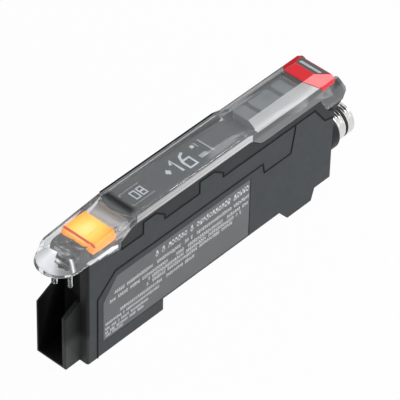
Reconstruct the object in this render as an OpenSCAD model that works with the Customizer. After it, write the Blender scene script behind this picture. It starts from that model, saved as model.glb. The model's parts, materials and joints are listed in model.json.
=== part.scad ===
// Laser sensor amplifier: a slim housing that clips onto a 35 mm rail.
// X runs across the unit, Y from the sensor socket to the round connector, Z up.
// The row's origin is under the middle of the unit, on the plane of its feet.
// Inside the modules Y starts at the front face of the housing.

/* [Housing] */
// Width across the two side faces
body_w = 10.4; // [10:0.1:12]
// Length from the front face to the rear face
body_len = 74.6; // [74:0.2:82]
// Height of the parting line between case and top frame
seam_h = 25.4; // [25:0.1:28]
// Wall thickness of the case and the side cover
wall = 1.0; // [0.8:0.05:1.1]
// Height of the frame's sides above the parting line
frame_h = 4.0; // [3.9:0.05:4.5]

/* [Rail seat] */
// Width of the mounting rail
rail_w = 35; // [34.8:0.1:35.4]
// Play of the rail in its notch
rail_play = 0.8; // [0.4:0.1:1.2]
// Height of the rail seat above the feet
seat_h = 3.15; // [3.1:0.05:3.5]
// Length of the rear foot's sole
rear_foot = 7.6; // [7.4:0.1:8]
// Length of the housing behind the rear foot
tail_len = 6.15; // [6:0.05:7]
// Reach of the hook and the claw under the rail
hook_reach = 1.2; // [0.8:0.1:1.4]
// Thickness of the rail's edge
rail_edge = 1.0; // [0.9:0.05:1.1]

/* [Sensor socket] */
// Outer width of the socket shroud
shroud_w = 8.2; // [7.8:0.1:8.3]
// Length of the shroud in front of the housing
shroud_d = 4.1; // [3:0.1:6]
// Height of the shroud at its mouth
shroud_h = 14; // [13:0.5:15]
// Depth of the socket behind the front face
socket_d = 6; // [5:0.1:6.5]
// Number of contacts in the socket
contacts = 4; // [2:1:4]

/* [Dust cover] */
// Wall thickness of the clear cover
clear_t = 0.8; // [0.7:0.05:0.9]
// Height of the flat roof above the frame's sides
roof_rise = 2.4; // [2.3:0.05:2.8]
// Extra height of the roof over the keys
hump_h = 0.9; // [0.8:0.05:1.1]
// Width of the long bevels over the keys
bevel_w = 2.6; // [2.2:0.1:2.8]
// Overhang of the nose in front of the housing
nose_over = 7.6; // [7:0.1:8.4]
// Radius of the cover's hinge studs
stud_r = 1.0; // [0.8:0.05:1.2]
// Radial running clearance of the hinge studs
stud_fit = 0.05; // [0.04:0.01:0.08]
// Gap between the cover's edge and the housing
edge_gap = 0.15; // [0.12:0.01:0.2]
// Length of the red tag
tag_len = 7.2; // [6.5:0.1:7.6]

/* [Display and keys] */
// Gap between the housing's front face and the display window
display_y = 13.4; // [13.2:0.1:14]
// Thickness of the display window
window_t = 0.8; // [0.6:0.05:0.9]
// Height of the keys above the deck
key_rise = 1.4; // [1:0.1:1.6]
// Length of the set button
set_len = 3.4; // [3:0.1:3.8]
// Length of the adjusting rocker
rocker_len = 6.0; // [5.6:0.1:6.6]
// Length of the mode button
mode_len = 3.2; // [3:0.1:3.8]
// Bridge of the deck between two keys
key_gap = 1.0; // [0.9:0.1:1.4]
// Clearance round a key in its hole
key_fit = 0.15; // [0.1:0.01:0.2]
// Travel of a push key
key_travel = 0.25; // [0.2:0.01:0.28]
// Length of the amber lens
lens_len = 6.9; // [6:0.1:7]

/* [Round connector] */
// Radius of the connector's thread
thread_r = 4.0; // [3.9:0.05:4.1]
// Length of the metal sleeve that stands clear of the collar
sleeve_len = 5.3; // [5:0.1:6]
// Radius of the dark collar
collar_r = 4.7; // [4.5:0.05:4.9]
// Length of the collar
collar_len = 3.1; // [2.8:0.1:3.4]
// Height of the connector's axis above the feet
plug_z = 11.5; // [10.5:0.1:12]
// Radius of the circle that the pins stand on
pin_circle = 1.8; // [1.6:0.05:1.9]

/* [Boards] */
// Thickness of the circuit boards
board_t = 0.8; // [0.6:0.05:1]

/* [Hidden] */
$fn = 64;
cut = 1; // how far a cutting shape runs past the face that it cuts

// Colours as the object shows them
dark = [0.24, 0.25, 0.26];
darker = [0.12, 0.12, 0.13];
plate_grey = [0.55, 0.56, 0.57];
clear_grey = [0.80, 0.82, 0.84, 0.45];
amber = [1.0, 0.72, 0.25];
red = [0.86, 0.16, 0.18];
board_green = [0.10, 0.36, 0.22];
metal = [0.78, 0.79, 0.80];
gold = [0.83, 0.68, 0.32];

// Housing
half = body_w / 2;
inner = half - wall; // half width inside the case
face_gap = 0.05; // gap of an assembly joint between two mouldings
foot_slope = 2.75; // run of the rear foot's sloping front
heel_run = 0.75; // run of the rear foot's heel
sole_end = body_len - tail_len;
sole_start = sole_end - rear_foot;
notch_end = sole_start - foot_slope;
front_foot = notch_end - rail_play - rail_w; // length of the front foot
floor_z = seat_h + wall; // height of the housing's inner floor

// Hinge
hinge_y = body_len + 0.6;
hinge_z = seam_h + 0.3;
ear_t = clear_t + 0.1; // thickness of the hinge ears
ear_swing = 3.95; // radius that the ears sweep
bay_depth = 5.0;
bay_reach = 6.8;
bay_z = hinge_z - bay_depth; // floor of the bay that holds the hinge block
bay_y = hinge_y - bay_reach; // front of that bay
block_half = half - ear_t - 0.15; // half width of the hinge block between the ears

// Socket
shroud_x = shroud_w - half; // right face of the shroud
shroud_rise = 2.1; // rise of the shroud's upper edges towards the housing
shroud_left = 0.5; // thickness of the shroud's left wall and floor
shroud_right = 1.1; // thickness of the shroud's right wall
carrier_t = 2.6; // depth of the contact carrier
socket_end = socket_d + carrier_t;
tunnel_h = shroud_h - wall; // roof of the socket behind the recess
recess_d = 3.5; // depth of the recess above the socket
tongue_top = shroud_h + shroud_rise;

contact_pitch = 2.54;
contact_low = 3.2; // height of the lowest contact
contact_w = 0.5; // thickness of a contact blade
contact_reach = 4; // how far the blades stand out of their carrier

// Cover
frame_top = seam_h + frame_h;
roof_z = frame_top + roof_rise;
hump_z = roof_z + hump_h;
bevel_z = hump_z - 1.85; // lower edge of the long bevels
skirt_front = seam_h + 2.0; // lower edge of the cover at the nose
skirt_rear = seam_h + 1.6; // lower edge of the cover beside the keys
tag_y = hinge_y - 1.2 - tag_len;
tag_end = tag_y + tag_len;
keys_end = tag_y - 1.2;
keys_start = keys_end - set_len - rocker_len - mode_len - 2 * key_gap;
hump_y = keys_start - 1.2; // where the hump is at full height
mid_end = hump_y - 2.4; // where the roof steps up
window_len = mid_end - 0.4 - display_y;
mid_start = display_y - 0.6; // where the edge runs level beside the display
front_step = mid_start - 3.5; // where the nose's skirt starts to rise
arc_r = 7.8; // radius of the cover's front edge in plan
arc_y = display_y - 1.2; // front of that edge
tag_z = bevel_z - 0.35; // underside of the tag
tag_rear_z = hump_z - 1.3; // height of the tag's rear edge
tag_flat = 3.4; // length of the tag's level top
flange_h = 1.0; // height of the tag's side lips under the tag
flange_d = 0.4; // thickness of those lips
tag_slant = 2.6; // how far the tag's front corners slant back
inlay_front = 2.55; // half width of the tag's inlay at its front
inlay_rear = 4.05; // half width of the inlay at its rear
inlay_len = 3.4;
nose_c = half - nose_over; // centre of the nose's round end
nose_z = roof_z - 1.3; // height of the nose's roof at its front
nose_back_z = roof_z - 0.2; // height of the nose lens where it meets the cover
nose_end = arc_y + 1.9; // rear end of the nose lens at its sides
nose_t = 0.5; // wall thickness of the nose
nose_edge = 0.35; // chamfer of the nose's upper edge
ridge_y = -4.1; // front of the nose's roof
nose_solid = ridge_y + 0.5; // rear face of the nose's solid front
ridge_half = 4.9; // half width of the roof there
ridge_r = 2.4; // corner rounding of the roof there
slice = 0.1; // thickness of the sections that a hull joins
headroom = 7;
above = hump_z + headroom; // height that open cuts and outlines reach

// Frame and keys
deck_z = tag_z - clear_t - 0.2; // top of the key deck
deck_t = 1.2; // thickness of the key deck
deck_end = tag_y + 1.2;
side_end = mid_end + 5; // rear end of the frame's raised sides
lid_half = half - clear_t - 0.2; // half width of what stands inside the cover
board_half = inner + 0.3; // half width of the display board
pocket_half = board_half + 0.05; // half width of the frame's pocket for the board
hollow_half = lid_half - 0.85; // half width inside the frame
board_start = 11.8;
board_end = tag_y - 0.8;
board_top = seam_h + board_t;
window_top = roof_z - clear_t - 0.4;
window_bottom = window_top - window_t;
window_half = lid_half - 0.4;
key_half = lid_half - 1.3; // half width of the keys
set_y = keys_start + set_len / 2;
rocker_y = keys_start + set_len + key_gap + rocker_len / 2;
rocker_flat = 1; // half length of the flat under the rocker
mode_y = keys_end - mode_len / 2;
flange_t = 0.3; // thickness of the rim that holds a key under the deck
flange_w = 0.35; // width of that rim
key_bottom = deck_z - deck_t - face_gap - flange_t;
key_top = deck_z + key_rise;
axle_r = 0.45; // radius of the rocker's axle
axle_fit = 0.04;
axle_z = deck_z - deck_t / 2;
switch_reach = 2.1; // distance of the two rocker switches from the axle
switch_top = key_bottom - key_travel - 0.04;

// Amber lens and nose of the frame
lens_y = 1.6;
nose_deck = frame_top - 0.1; // top of the frame's nose in front of the lens
lens_low = frame_top - 1.8; // underside of the lens where it shows at the sides
lens_fit = 0.05; // gap between the lens and the nose over it
lens_slope = 1.2; // how far the lens's front face leans back
frame_nose_r = lid_half - 0.1; // radius of the frame's round front end
frame_nose_c = nose_solid + 0.2 + frame_nose_r; // centre of the frame's round front end
strip_half = 3.0; // half width of the display board's front strip
strip_start = lens_y + 0.8;

// Side cover and snap ears
margin = 2.85; // distance of the side cover from the front face
panel_top = seam_h - 4.5; // upper edge of the side cover beside the display
tab_y = mid_end + 5.2; // front lower corner of the latch panel
tab_z = panel_top - 2.65;
tab_len = 8.3;
tab_slope = 1.1; // run and rise of the panel's rear corner
label_y = margin + 1.75; // front edge of the rating plate
label_low = seat_h + 0.35;
label_top = panel_top - 1.9;
label_cut = 3.9; // run of the plate's cut corner
ear_h = 3.1;
first_ear = display_y + 2.7;
ear_back = 14.7; // distance of the second ear from the step of the roof
second_ear = mid_end - ear_back;
first_ear_len = 6.2;
second_ear_len = 7.0;

// Boards
board_x = 0.6; // left face of the main board
board_front = socket_end + 1;
board_foot = wall + 1.2; // lower edge of the main board over the front foot
board_low = floor_z + 0.4; // lower edge of the main board over the rail
board_rear = body_len - 4.6;
board_step = 18; // height of the main board behind the bulkhead
bulkhead_y = tab_y + 6.6; // front face of the bulkhead behind the latch panel
bulkhead_z = tab_z + 0.15; // underside of the bulkhead

chip_len = 8; // edge of the processor
chip_h = 1.2;
chip_y = front_foot + rail_w / 2 + 3.8;
chip_z = board_low + 4.4;
coil_r = 2.9;
coil_h = 2.4;
base_t = 0.6; // thickness of the coil's foot
coil_y = front_foot + 6.7;
coil_z = 11;
header_len = 12; // length of the connector between the boards
header_h = 4.2;
header_w = inner - board_x - board_t - 0.4; // reach of that connector towards the side cover
header_y = front_foot + 3.7;

// Claw
claw_half = 2.8;
claw_low = 0.8;
claw_top = seat_h - rail_edge - 0.1;
claw_fit = 0.08;
claw_stroke = 1.5;
heel_block = 2.0; // length of the block that the spring pushes
claw_back = notch_end + 5.4; // rear face of the claw
spring_r = 1.0;
spring_wire = 0.22;
spring_turns = 4;
spring_len = 4;
claw_block_top = 2 * spring_r + claw_low + 0.1;

// Round connector
gasket_t = 0.5;
collar_y = body_len + gasket_t;
collar_end = collar_y + collar_len;
sleeve_end = collar_end + sleeve_len;
sleeve_t = 0.7;
groove_y = collar_end + sleeve_len * 0.45; // groove round the sleeve, which holds the seal
groove_w = 0.7;
groove_d = 0.4;
sleeve_start = collar_y + 1.1;
bore_r = thread_r - sleeve_t; // radius inside the metal sleeve
neck_r = thread_r - 0.2; // radius of the sleeve inside the collar
spigot_r = thread_r - 0.5; // radius of the collar's neck in the rear wall
slip = 0.03; // radial clearance of parts that are pushed together
pin_r = 0.5;
pin_start = board_rear;
pin_inset = 1.2; // distance of the pins' tips inside the sleeve's mouth
insert_end = collar_end - 0.6;

mid_y = (sleeve_end + nose_c - half) / 2; // middle of the unit along Y

// Moves a part from the housing's front face to the row's origin
module in_place() {
    translate([0, -mid_y, 0]) children();
}

// A plate with a side-view outline of [y, z] points, from x0 to x1
module side_prism(points, x0, x1) {
    translate([x0, 0, 0])
        rotate([90, 0, 90])
            linear_extrude(x1 - x0) polygon(points);
}

// A bar with a front-view outline of [x, z] points, from y0 to y1
module front_prism(points, y0, y1) {
    translate([0, y1, 0])
        rotate([90, 0, 0])
            linear_extrude(y1 - y0) polygon(points);
}

// A block between two corners
module block(low, high) {
    translate(low) cube(high - low);
}

// A cylinder along X, from x0 to x1
module rod_x(y, z, r, x0, x1) {
    translate([x0, y, z]) rotate([0, 90, 0]) cylinder(r = r, h = x1 - x0);
}

// A cylinder along Y, from y0 to y1
module rod_y(x, z, r, y0, y1) {
    translate([x, y0, z]) rotate([-90, 0, 0]) cylinder(r = r, h = y1 - y0);
}

// A rectangle with round corners, standing up from z0 to z1
module rounded_block(x, y, len_x, len_y, r, z0, z1) {
    translate([x, y, z0])
        linear_extrude(z1 - z0) hull() {
            for (sx = [-1, 1], sy = [-1, 1])
                translate([sx * (len_x / 2 - r), sy * (len_y / 2 - r)]) circle(r, $fn = 24);
        }
}

// Both sides at once: the shape and its mirror image
module both_sides() {
    children();
    mirror([1, 0, 0]) children();
}

// Lower edge of the dust cover in side view, moved down by g
function cover_edge(g) = [
    [nose_c - half - cut, skirt_front - g],
    [0, skirt_front - g],
    [front_step + 0.4, seam_h + 0.4 - g],
    [front_step + 0.4, skirt_front + 0.2 - g],
    [mid_start, frame_top - g],
    [mid_end + 0.6, frame_top - g],
    [mid_end + 1.4, frame_top - 0.4 - g],
    [mid_end + 3.6, skirt_rear + 0.3 - g],
    [mid_end + 4.4, skirt_rear - g],
    [hinge_y - 5.4, skirt_rear - g],
    [hinge_y - 2.9, hinge_z - 2.6 - g],
    [hinge_y + 2.0 + g, hinge_z - 2.6 - g],
    [hinge_y + 2.9 + g, hinge_z - 0.6]
];

// Side-view outline of the housing without its upper curves
function housing_outline(top) = [
    [0, 0], [front_foot, 0], [front_foot, seat_h], [notch_end, seat_h], [sole_start, 0],
    [sole_end, 0], [sole_end + heel_run, seat_h], [body_len, seat_h], [body_len, top], [0, top]
];

// Side-view outline of the side cover
function panel_outline(g) = [
    [margin - g, -cut], [margin - g, 16.2 + g / 2], [margin + 5.15, panel_top + g],
    [tab_y - 0.5 + g, panel_top + g], [tab_y + g, tab_z + g], [tab_y + tab_len - g, tab_z + g],
    [tab_y + tab_len + tab_slope - g, seam_h - tab_slope],
    [tab_y + tab_len + tab_slope + 0.1 - g, seam_h + cut],
    [body_len + cut, seam_h + cut], [body_len + cut, -cut]
];

// Snap ears that reach up from the case into the top frame
function snap_ear(y, len, g) = [
    [y - g, seam_h - cut], [y - g, seam_h + ear_h + g], [y + len * 0.6, seam_h + ear_h + g],
    [y + len + g, seam_h + ear_h * 0.35 + g], [y + len + g, seam_h - cut]
];
module snap_ears(g, x0) {
    both_sides() {
        side_prism(snap_ear(first_ear, first_ear_len, g), x0, half);
        side_prism(snap_ear(second_ear, second_ear_len, g), x0, half);
    }
}

// The bay round the hinge, grown by g, where the hinge block sits
module hinge_bay(g) {
    side_prism([[bay_y - g, above], [bay_y - g, seam_h - 0.2 - g], [bay_y + 3.3 - g, bay_z - g],
                [body_len, bay_z - 0.8 - g], [hinge_y + 5, bay_z - 0.8 - g], [hinge_y + 5, above]],
               -half - cut, half + cut);
}

// Bosses that hold the main board, as [y, z]
boss_r = 1.3;
bosses = [[socket_end + 5.4, 9], [front_foot + rail_w / 2, 17], [bulkhead_y + 6, 10]];

module case() {
    color(dark) in_place() {
        difference() {
            union() {
                side_prism(housing_outline(seam_h), -half, half);
                // Raised sides beside the amber lens
                both_sides() block([inner, 0, seam_h - cut], [half, front_step + 0.1, frame_top]);
                snap_ears(0, inner + 0.35);
                // Socket shroud
                side_prism([[-shroud_d, 0], [cut, 0], [cut, tongue_top], [0, tongue_top],
                            [-shroud_d, shroud_h]], -half, shroud_x);
            }
            // Space for the boards, behind the socket block
            side_prism([[socket_end + 0.4, wall], [front_foot - wall, wall],
                        [front_foot - wall, floor_z], [body_len - wall, floor_z],
                        [body_len - wall, seam_h + cut], [recess_d + wall, seam_h + cut],
                        [recess_d + wall, shroud_h + wall], [socket_end + 0.4, shroud_h + wall]],
                       -inner, inner);
            // Opening that the side cover closes
            side_prism(panel_outline(face_gap), inner, half + cut);
            case_socket();
            // Clearance under the edge of the dust cover
            both_sides()
                side_prism(concat(cover_edge(edge_gap), [[hinge_y, above], [nose_c - half - cut, above]]),
                           inner - cut, half + cut);
            hinge_bay(face_gap);
            // Neck of the round connector
            rod_y(0, plug_z, spigot_r + slip, body_len - wall - cut, body_len + cut);
            claw_tunnel();
            // Rounded front edges, on the left only above the shroud
            edge_round(half, 0, 0.5, -cut);
            mirror([1, 0, 0]) edge_round(half, 0, 0.5, tongue_top);
            mirror([1, 0, 0]) rear_round();
        }
        // Fixed hook under the rail's front edge
        side_prism([[front_foot - 0.1, 0.5], [front_foot + hook_reach - 0.5, 0.5],
                    [front_foot + hook_reach, 1.0], [front_foot + hook_reach, claw_top - 0.3],
                    [front_foot + hook_reach - 0.3, claw_top], [front_foot - 0.1, claw_top]],
                   -claw_half, claw_half);
        // Bosses behind the main board
        for (b = bosses) rod_x(b[0], b[1], boss_r, -inner - 0.2, board_x);
        // Bulkhead that carries the latch panel
        block([-inner - 0.2, bulkhead_y, bulkhead_z], [half - 0.05, bulkhead_y + wall, seam_h]);
    }
}

// Socket and the recess above it
module case_socket() {
    block([-half + shroud_left, -shroud_d - cut, shroud_left],
          [shroud_x - shroud_right, socket_end, tunnel_h]);
    block([-half + shroud_left, -shroud_d - cut, tunnel_h - cut],
          [shroud_x - shroud_right, recess_d, seam_h + cut]);
    block([-half + shroud_left, -cut, tongue_top], [shroud_x, recess_d, frame_top]);
    // Way for the contact tails to the main board
    block([board_x - 0.7, socket_end - cut, 2.4], [board_x + 0.1, socket_end + cut, tunnel_h - 0.8]);
}

// Takes the sharp edge off a standing corner at x, y, from height z up
module edge_round(x, y, r, z) {
    difference() {
        block([x - r, y - cut, z], [x + cut, y + r, above]);
        translate([x - r, y + r, z - cut]) cylinder(r = r, h = above - z + 2 * cut, $fn = 32);
    }
}

// Rounds the right rear corner of the housing
module rear_round() {
    translate([0, body_len, 0]) mirror([0, 1, 0]) edge_round(half, 0, 0.5, -cut);
}

// Slot in the rear foot for the claw and its spring
module claw_tunnel() {
    block([-claw_half - claw_fit, notch_end - cut, claw_low - claw_fit],
          [claw_half + claw_fit, claw_back + claw_stroke + 0.3, claw_top + claw_fit]);
    block([-claw_half - claw_fit, claw_back - heel_block - 0.1, claw_low - claw_fit],
          [claw_half + claw_fit, claw_back + spring_len, claw_block_top + claw_fit]);
}

module side_cover() {
    color(dark) in_place() difference() {
        union() {
            intersection() {
                side_prism(panel_outline(0), inner, half);
                side_prism(housing_outline(seam_h), inner - cut, half + cut);
            }
            // Pads that press the main board onto its bosses
            for (b = bosses) rod_x(b[0], b[1], boss_r - 0.3, board_x + board_t, inner + 0.2);
        }
        hinge_bay(face_gap);
        rear_round();
        // Recess for the rating plate
        side_prism(label_outline(0.15), half - 0.2, half + cut);
    }
}

// Outline of the rating plate, grown by g
function label_outline(g) = [
    [label_y - g, label_low - g], [label_y - g, label_top - label_cut * 1.28 + g / 2],
    [label_y + label_cut - g / 2, label_top + g], [mid_end + 0.9 + g, label_top + g],
    [mid_end + 0.9 + g, label_low - g]
];

module side_label() {
    color(plate_grey) in_place() side_prism(label_outline(0), half - 0.2, half - 0.08);
}

module top_frame() {
    color(dark) in_place() difference() {
        union() {
            // Nose under the amber lens
            translate([0, frame_nose_c, seam_h]) cylinder(r = frame_nose_r, h = nose_deck - seam_h);
            block([-frame_nose_r, frame_nose_c, seam_h], [frame_nose_r, mid_start, nose_deck]);
            // Sides beside the display
            block([-half, front_step + 0.4 + edge_gap, seam_h], [half, side_end, frame_top]);
            // Bezel round the window
            block([-lid_half, mid_start - 0.4, seam_h], [lid_half, mid_end, window_top + 0.05]);
            // Deck with the keys and its shoulders
            block([-lid_half, mid_end - cut, seam_h], [lid_half, deck_end, deck_z]);
            block([-half, mid_end, seam_h], [half, hinge_y - 5, skirt_rear]);
            hinge_block();
        }
        // Sides cut back for the edge of the dust cover
        both_sides()
            side_prism(concat(cover_edge(edge_gap),
                              [[hinge_y + 2.9, above], [nose_c - half - cut, above]]),
                       lid_half, half + cut);
        both_sides() rod_x(hinge_y, hinge_z, ear_swing + 0.05, block_half, half + cut);
        snap_ears(face_gap, inner + 0.3);
        // Hollow over the display board
        block([-hollow_half, lens_y + 0.4, seam_h - cut],
              [hollow_half, mid_start - 0.4, lens_low - 0.75]);
        // Step that the amber lens stands on
        block([-half, lens_y - slip, lens_low - slip], [half, lens_y + lens_len + slip, roof_z]);
        block([-hollow_half, mid_start - cut, seam_h - cut],
              [hollow_half, board_end + 0.05, deck_z - deck_t]);
        block([-pocket_half, board_start - 0.05, seam_h - cut],
              [pocket_half, board_end + 0.05, board_top + 0.02]);
        // Opening and ledge of the display window
        block([-hollow_half, display_y + 0.8, seam_h],
              [hollow_half, display_y + window_len - 0.8, roof_z]);
        rounded_block(0, display_y + window_len / 2, 2 * window_half + 0.06, window_len + 0.06, 0.4,
                      window_bottom, roof_z);
        // Light way under the amber lens
        block([-2.6, lens_y + 1, seam_h], [2.6, lens_y + lens_len - 1, roof_z]);
        frame_key_holes();
        rod_x(hinge_y, hinge_z, stud_r + stud_fit, -half, half);
    }
}

// Block between the cover's ears, with cheeks that fill the housing's bay
module hinge_block() {
    intersection() {
        union() {
            side_prism([[tag_y + 1, bay_z - 2], [tag_y + 1, deck_z - 0.4], [hinge_y - 1.2, deck_z - 0.4],
                        [hinge_y, hinge_z + 3.8], [hinge_y + 2.4, hinge_z + 0.5],
                        [hinge_y + 2.8, hinge_z - 0.7], [hinge_y + 2.8, hinge_z - 4.2],
                        [hinge_y + 1.0, hinge_z - 5.4], [body_len, bay_z - 2]], -block_half, block_half);
            block([-half, tag_y + 1, bay_z - 2], [half, body_len, skirt_rear]);
        }
        hinge_bay(0);
    }
}

// Holes for the three keys, with the bearings of the rocker
module frame_key_holes() {
    for (k = [[set_y, set_len], [mode_y, mode_len]])
        rounded_block(0, k[0], 2 * (key_half + key_fit), k[1] + 2 * key_fit, 0.9, seam_h, roof_z);
    rounded_block(0, rocker_y, 2 * (key_half + key_fit), rocker_len + 0.4, 0.9, seam_h, roof_z);
    rod_x(rocker_y, axle_z, axle_r + axle_fit, -key_half - 0.5, key_half + 0.5);
}

// Front-view outline of the cover's roof: half width w, side height, roof height and bevel
function roof_outline(w, low, side, top, bevel) = [
    [-w, low], [-w, side], [-w + bevel, top], [w - bevel, top], [w, side], [w, low]
];

// Body of the hinged cover, shrunk by g: g = 0 gives its outer faces
module cover_body(g) {
    low = seam_h - 4;
    w = half - g;
    mid_pts = roof_outline(w, low, roof_z - 0.3 - g, roof_z - g, 0.3);
    hump_pts = roof_outline(w, low, bevel_z - g * 0.6, hump_z - g, bevel_w - g * 0.2);
    front_prism(mid_pts, arc_y - cut, mid_end + g);
    // Step up to the hump
    hull() {
        front_prism(mid_pts, mid_end + g - slice, mid_end + g);
        front_prism(hump_pts, hump_y + g, hump_y + g + slice);
    }
    front_prism(hump_pts, hump_y + g, g > 0 ? tag_y - g : tag_y + tag_slant);
}

// Body of the fixed nose, shrunk by g: a round rim below, a flat roof set back above it
module nose_body(g) {
    low = seam_h - 4;
    edge = nose_edge * (1 - g);
    hull() {
        translate([0, nose_c, low]) cylinder(r = half - g, h = skirt_front - low, $fn = 64);
        nose_roof(g, 0, nose_z - g - edge);
        nose_roof(g, edge, nose_z - g);
        front_prism(roof_outline(half - g, low, nose_back_z - g - edge, nose_back_z - g, edge),
                    nose_end - slice, nose_end);
    }
}

// Thin plate at height z in the shape of the nose's roof, inset by e
module nose_roof(g, e, z) {
    for (side = [-1, 1])
        translate([side * (ridge_half - g - ridge_r), ridge_y + g * 0.7 + ridge_r, z - slice])
            cylinder(r = ridge_r - e, h = slice, $fn = 32);
}

// Side view of the whole cover: everything above its lower edge
function cover_side() = concat(cover_edge(0), [
    [hinge_y + 2.6, hinge_z + 0.6], [hinge_y + 0.2, tag_z - 0.3], [tag_end - 1.4, tag_z],
    [tag_y + tag_slant, tag_z], [tag_y + tag_slant, above], [nose_c - half - cut, above]
]);

// Round front edge of the hinged cover in plan, grown by g
module front_arc(g) {
    translate([0, arc_y + arc_r, seam_h - 6]) cylinder(r = arc_r + g, h = above, $fn = 128);
}

module dust_cover() {
    color(clear_grey) in_place() {
        intersection() {
            side_prism(cover_side(), -half, half);
            difference() {
                union() {
                    cover_body(0);
                    block([-half, tag_y - cut, seam_h - 4], [half, hinge_y + 4, tag_z]);
                }
                cover_body(clear_t);
                // Round front edge
                difference() {
                    block([-half - cut, arc_y - 2 * cut, seam_h - 5], [half + cut, arc_y + arc_r, above]);
                    front_arc(0);
                }
                tag_plan(face_gap, tag_z, above);
                tag_lips(face_gap);
                block([-half + ear_t, tag_y - cut, seam_h - 5],
                      [half - ear_t, tag_end - 1.4, tag_z - clear_t]);
                block([-half + ear_t, tag_end - 1.6, seam_h - 5], [half - ear_t, hinge_y + 5, tag_z + cut]);
            }
        }
        // Studs that turn in the hinge block
        both_sides() rod_x(hinge_y, hinge_z, stud_r, block_half - 0.9, half - ear_t / 2);
    }
}

// Side view of the tag: level at the front, falling to the rear
function tag_side() = [
    [tag_y, tag_z], [tag_y, hump_z], [tag_y + tag_flat, hump_z], [tag_end, tag_rear_z], [tag_end, tag_z]
];

// Side lips of the tag, which lie in the ears of the cover, grown by g
module tag_lips(g) {
    both_sides() block([half - flange_d - g, tag_y + tag_slant + 0.5 - g, tag_z - flange_h - g],
                       [half + g, tag_end + g, bevel_z - 0.1]);
}

// Plan view of the tag: its front corners slant back across the bevels, grown by g
module tag_plan(g, z0, z1) {
    reach = half - bevel_w;
    translate([0, 0, z0]) linear_extrude(z1 - z0) polygon([
        [-reach, tag_y - g], [reach, tag_y - g], [half + cut, tag_y + tag_slant * (1 + cut / bevel_w) - g],
        [half + cut, tag_end + cut], [-half - cut, tag_end + cut],
        [-half - cut, tag_y + tag_slant * (1 + cut / bevel_w) - g]
    ]);
}

module cover_tag() {
    color(red) in_place() difference() {
        intersection() {
            front_prism(roof_outline(half, tag_z, bevel_z, hump_z, bevel_w), tag_y, tag_end);
            side_prism(tag_side(), -half, half);
            tag_plan(0, tag_z - cut, above);
        }
        tag_slope() inlay_shape(0.05, 0.2);
    }
    color(red) in_place() tag_lips(0);
}

// Puts a shape on the tag's rear slope, with its Z along the slope's normal
module tag_slope() {
    run = tag_len - tag_flat;
    fall = hump_z - tag_rear_z;
    translate([0, tag_y + tag_flat, hump_z]) rotate([-atan(fall / run), 0, 0]) children();
}

// Four-sided plate that widens towards the rear
module inlay_shape(g, depth) {
    translate([0, 0, -depth]) linear_extrude(depth + (g > 0 ? cut : 0))
        polygon([[-inlay_front - g, 0.35 - g], [inlay_front + g, 0.35 - g],
                 [inlay_rear + g, inlay_len + 0.35 + g], [-inlay_rear - g, inlay_len + 0.35 + g]]);
}

module tag_inlay() {
    color(darker) in_place() tag_slope() inlay_shape(0, 0.2);
}

module nose_lens() {
    color(clear_grey) in_place() intersection() {
        side_prism(concat(cover_edge(edge_gap - slip), [[hinge_y, above], [nose_c - half - cut, above]]),
                   -half, half);
        difference() {
            nose_body(0);
            intersection() {
                nose_body(nose_t);
                block([-half, nose_solid, seam_h - 5], [half, above, above]);
            }
            // Open at the rear, where the display begins
            block([-half + nose_t, nose_end - 2, seam_h - 5],
                  [half - nose_t, nose_end + cut, nose_back_z - nose_t - nose_edge]);
            front_arc(edge_gap);
        }
    }
}

module indicator_lens() {
    color(amber) in_place() {
        intersection() {
            nose_body(nose_t + lens_fit);
            rounded_block(0, lens_y + lens_len / 2, body_w, lens_len, 1.5, lens_low, above);
            side_prism([[lens_y, lens_low], [lens_y, lens_low + 0.9],
                        [lens_y + lens_slope, nose_z - 0.2], [lens_y + lens_slope, above],
                        [lens_y + lens_len, above], [lens_y + lens_len, lens_low]], -half, half);
        }
        // Foot in the frame's light way
        block([-2.55, lens_y + 1.05, lens_low - 0.25], [2.55, lens_y + lens_len - 1.05, lens_low + 0.1]);
    }
}

// Clear guide under the nose, with two legs in front of the recess
module light_guide() {
    leg_t = 0.7;
    color(clear_grey) in_place() {
        block([-inner, -0.4, seam_h - 0.8], [leg_t, recess_d, seam_h]);
        block([-inner, -0.4, tongue_top + 0.8], [-inner + leg_t, 0.4, seam_h]);
        block([0, -0.4, tongue_top + 2.6], [leg_t, 0.4, seam_h]);
        block([-inner, -0.4, seam_h - 3], [leg_t, 0.4, seam_h]);
    }
}

module indicator_led() {
    color("white") in_place() {
        block([-1.6, lens_y + 1.8, board_top], [1.6, lens_y + lens_len - 1.8, board_top + 0.6]);
        translate([0, lens_y + lens_len / 2, board_top + 0.6])
            cylinder(r1 = 1.3, r2 = 1.0, h = 0.3, $fn = 32);
    }
}

module display_window() {
    color(darker) in_place()
        rounded_block(0, display_y + window_len / 2, 2 * window_half, window_len, 0.4,
                      window_bottom, window_top);
}

module display_module() {
    color(plate_grey) in_place() {
        block([-hollow_half + 0.1, display_y + 0.9, board_top],
              [hollow_half - 0.1, display_y + window_len - 0.9, window_bottom - 0.9]);
        block([-hollow_half + 0.3, display_y + 1.6, window_bottom - 1],
              [hollow_half - 0.3, display_y + window_len - 1.4, window_bottom]);
    }
}

module display_board() {
    color(board_green) in_place() {
        block([-board_half, board_start, seam_h], [board_half, board_end, board_top]);
        // Strip that carries the lamp under the amber lens
        block([-strip_half, strip_start, seam_h], [strip_half, board_start + cut, board_top]);
    }
}

// A push key: cap, and the rim that the deck holds down
module push_key(y, len) {
    rounded_block(0, y, 2 * key_half, len, 0.8, key_bottom, key_top);
    rounded_block(0, y, 2 * (key_half + flange_w), len + 2 * flange_w, 0.9,
                  key_bottom, key_bottom + flange_t);
}

module set_button() {
    color(plate_grey) in_place() push_key(set_y, set_len);
}

module mode_button() {
    color(plate_grey) in_place() push_key(mode_y, mode_len);
}

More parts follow.
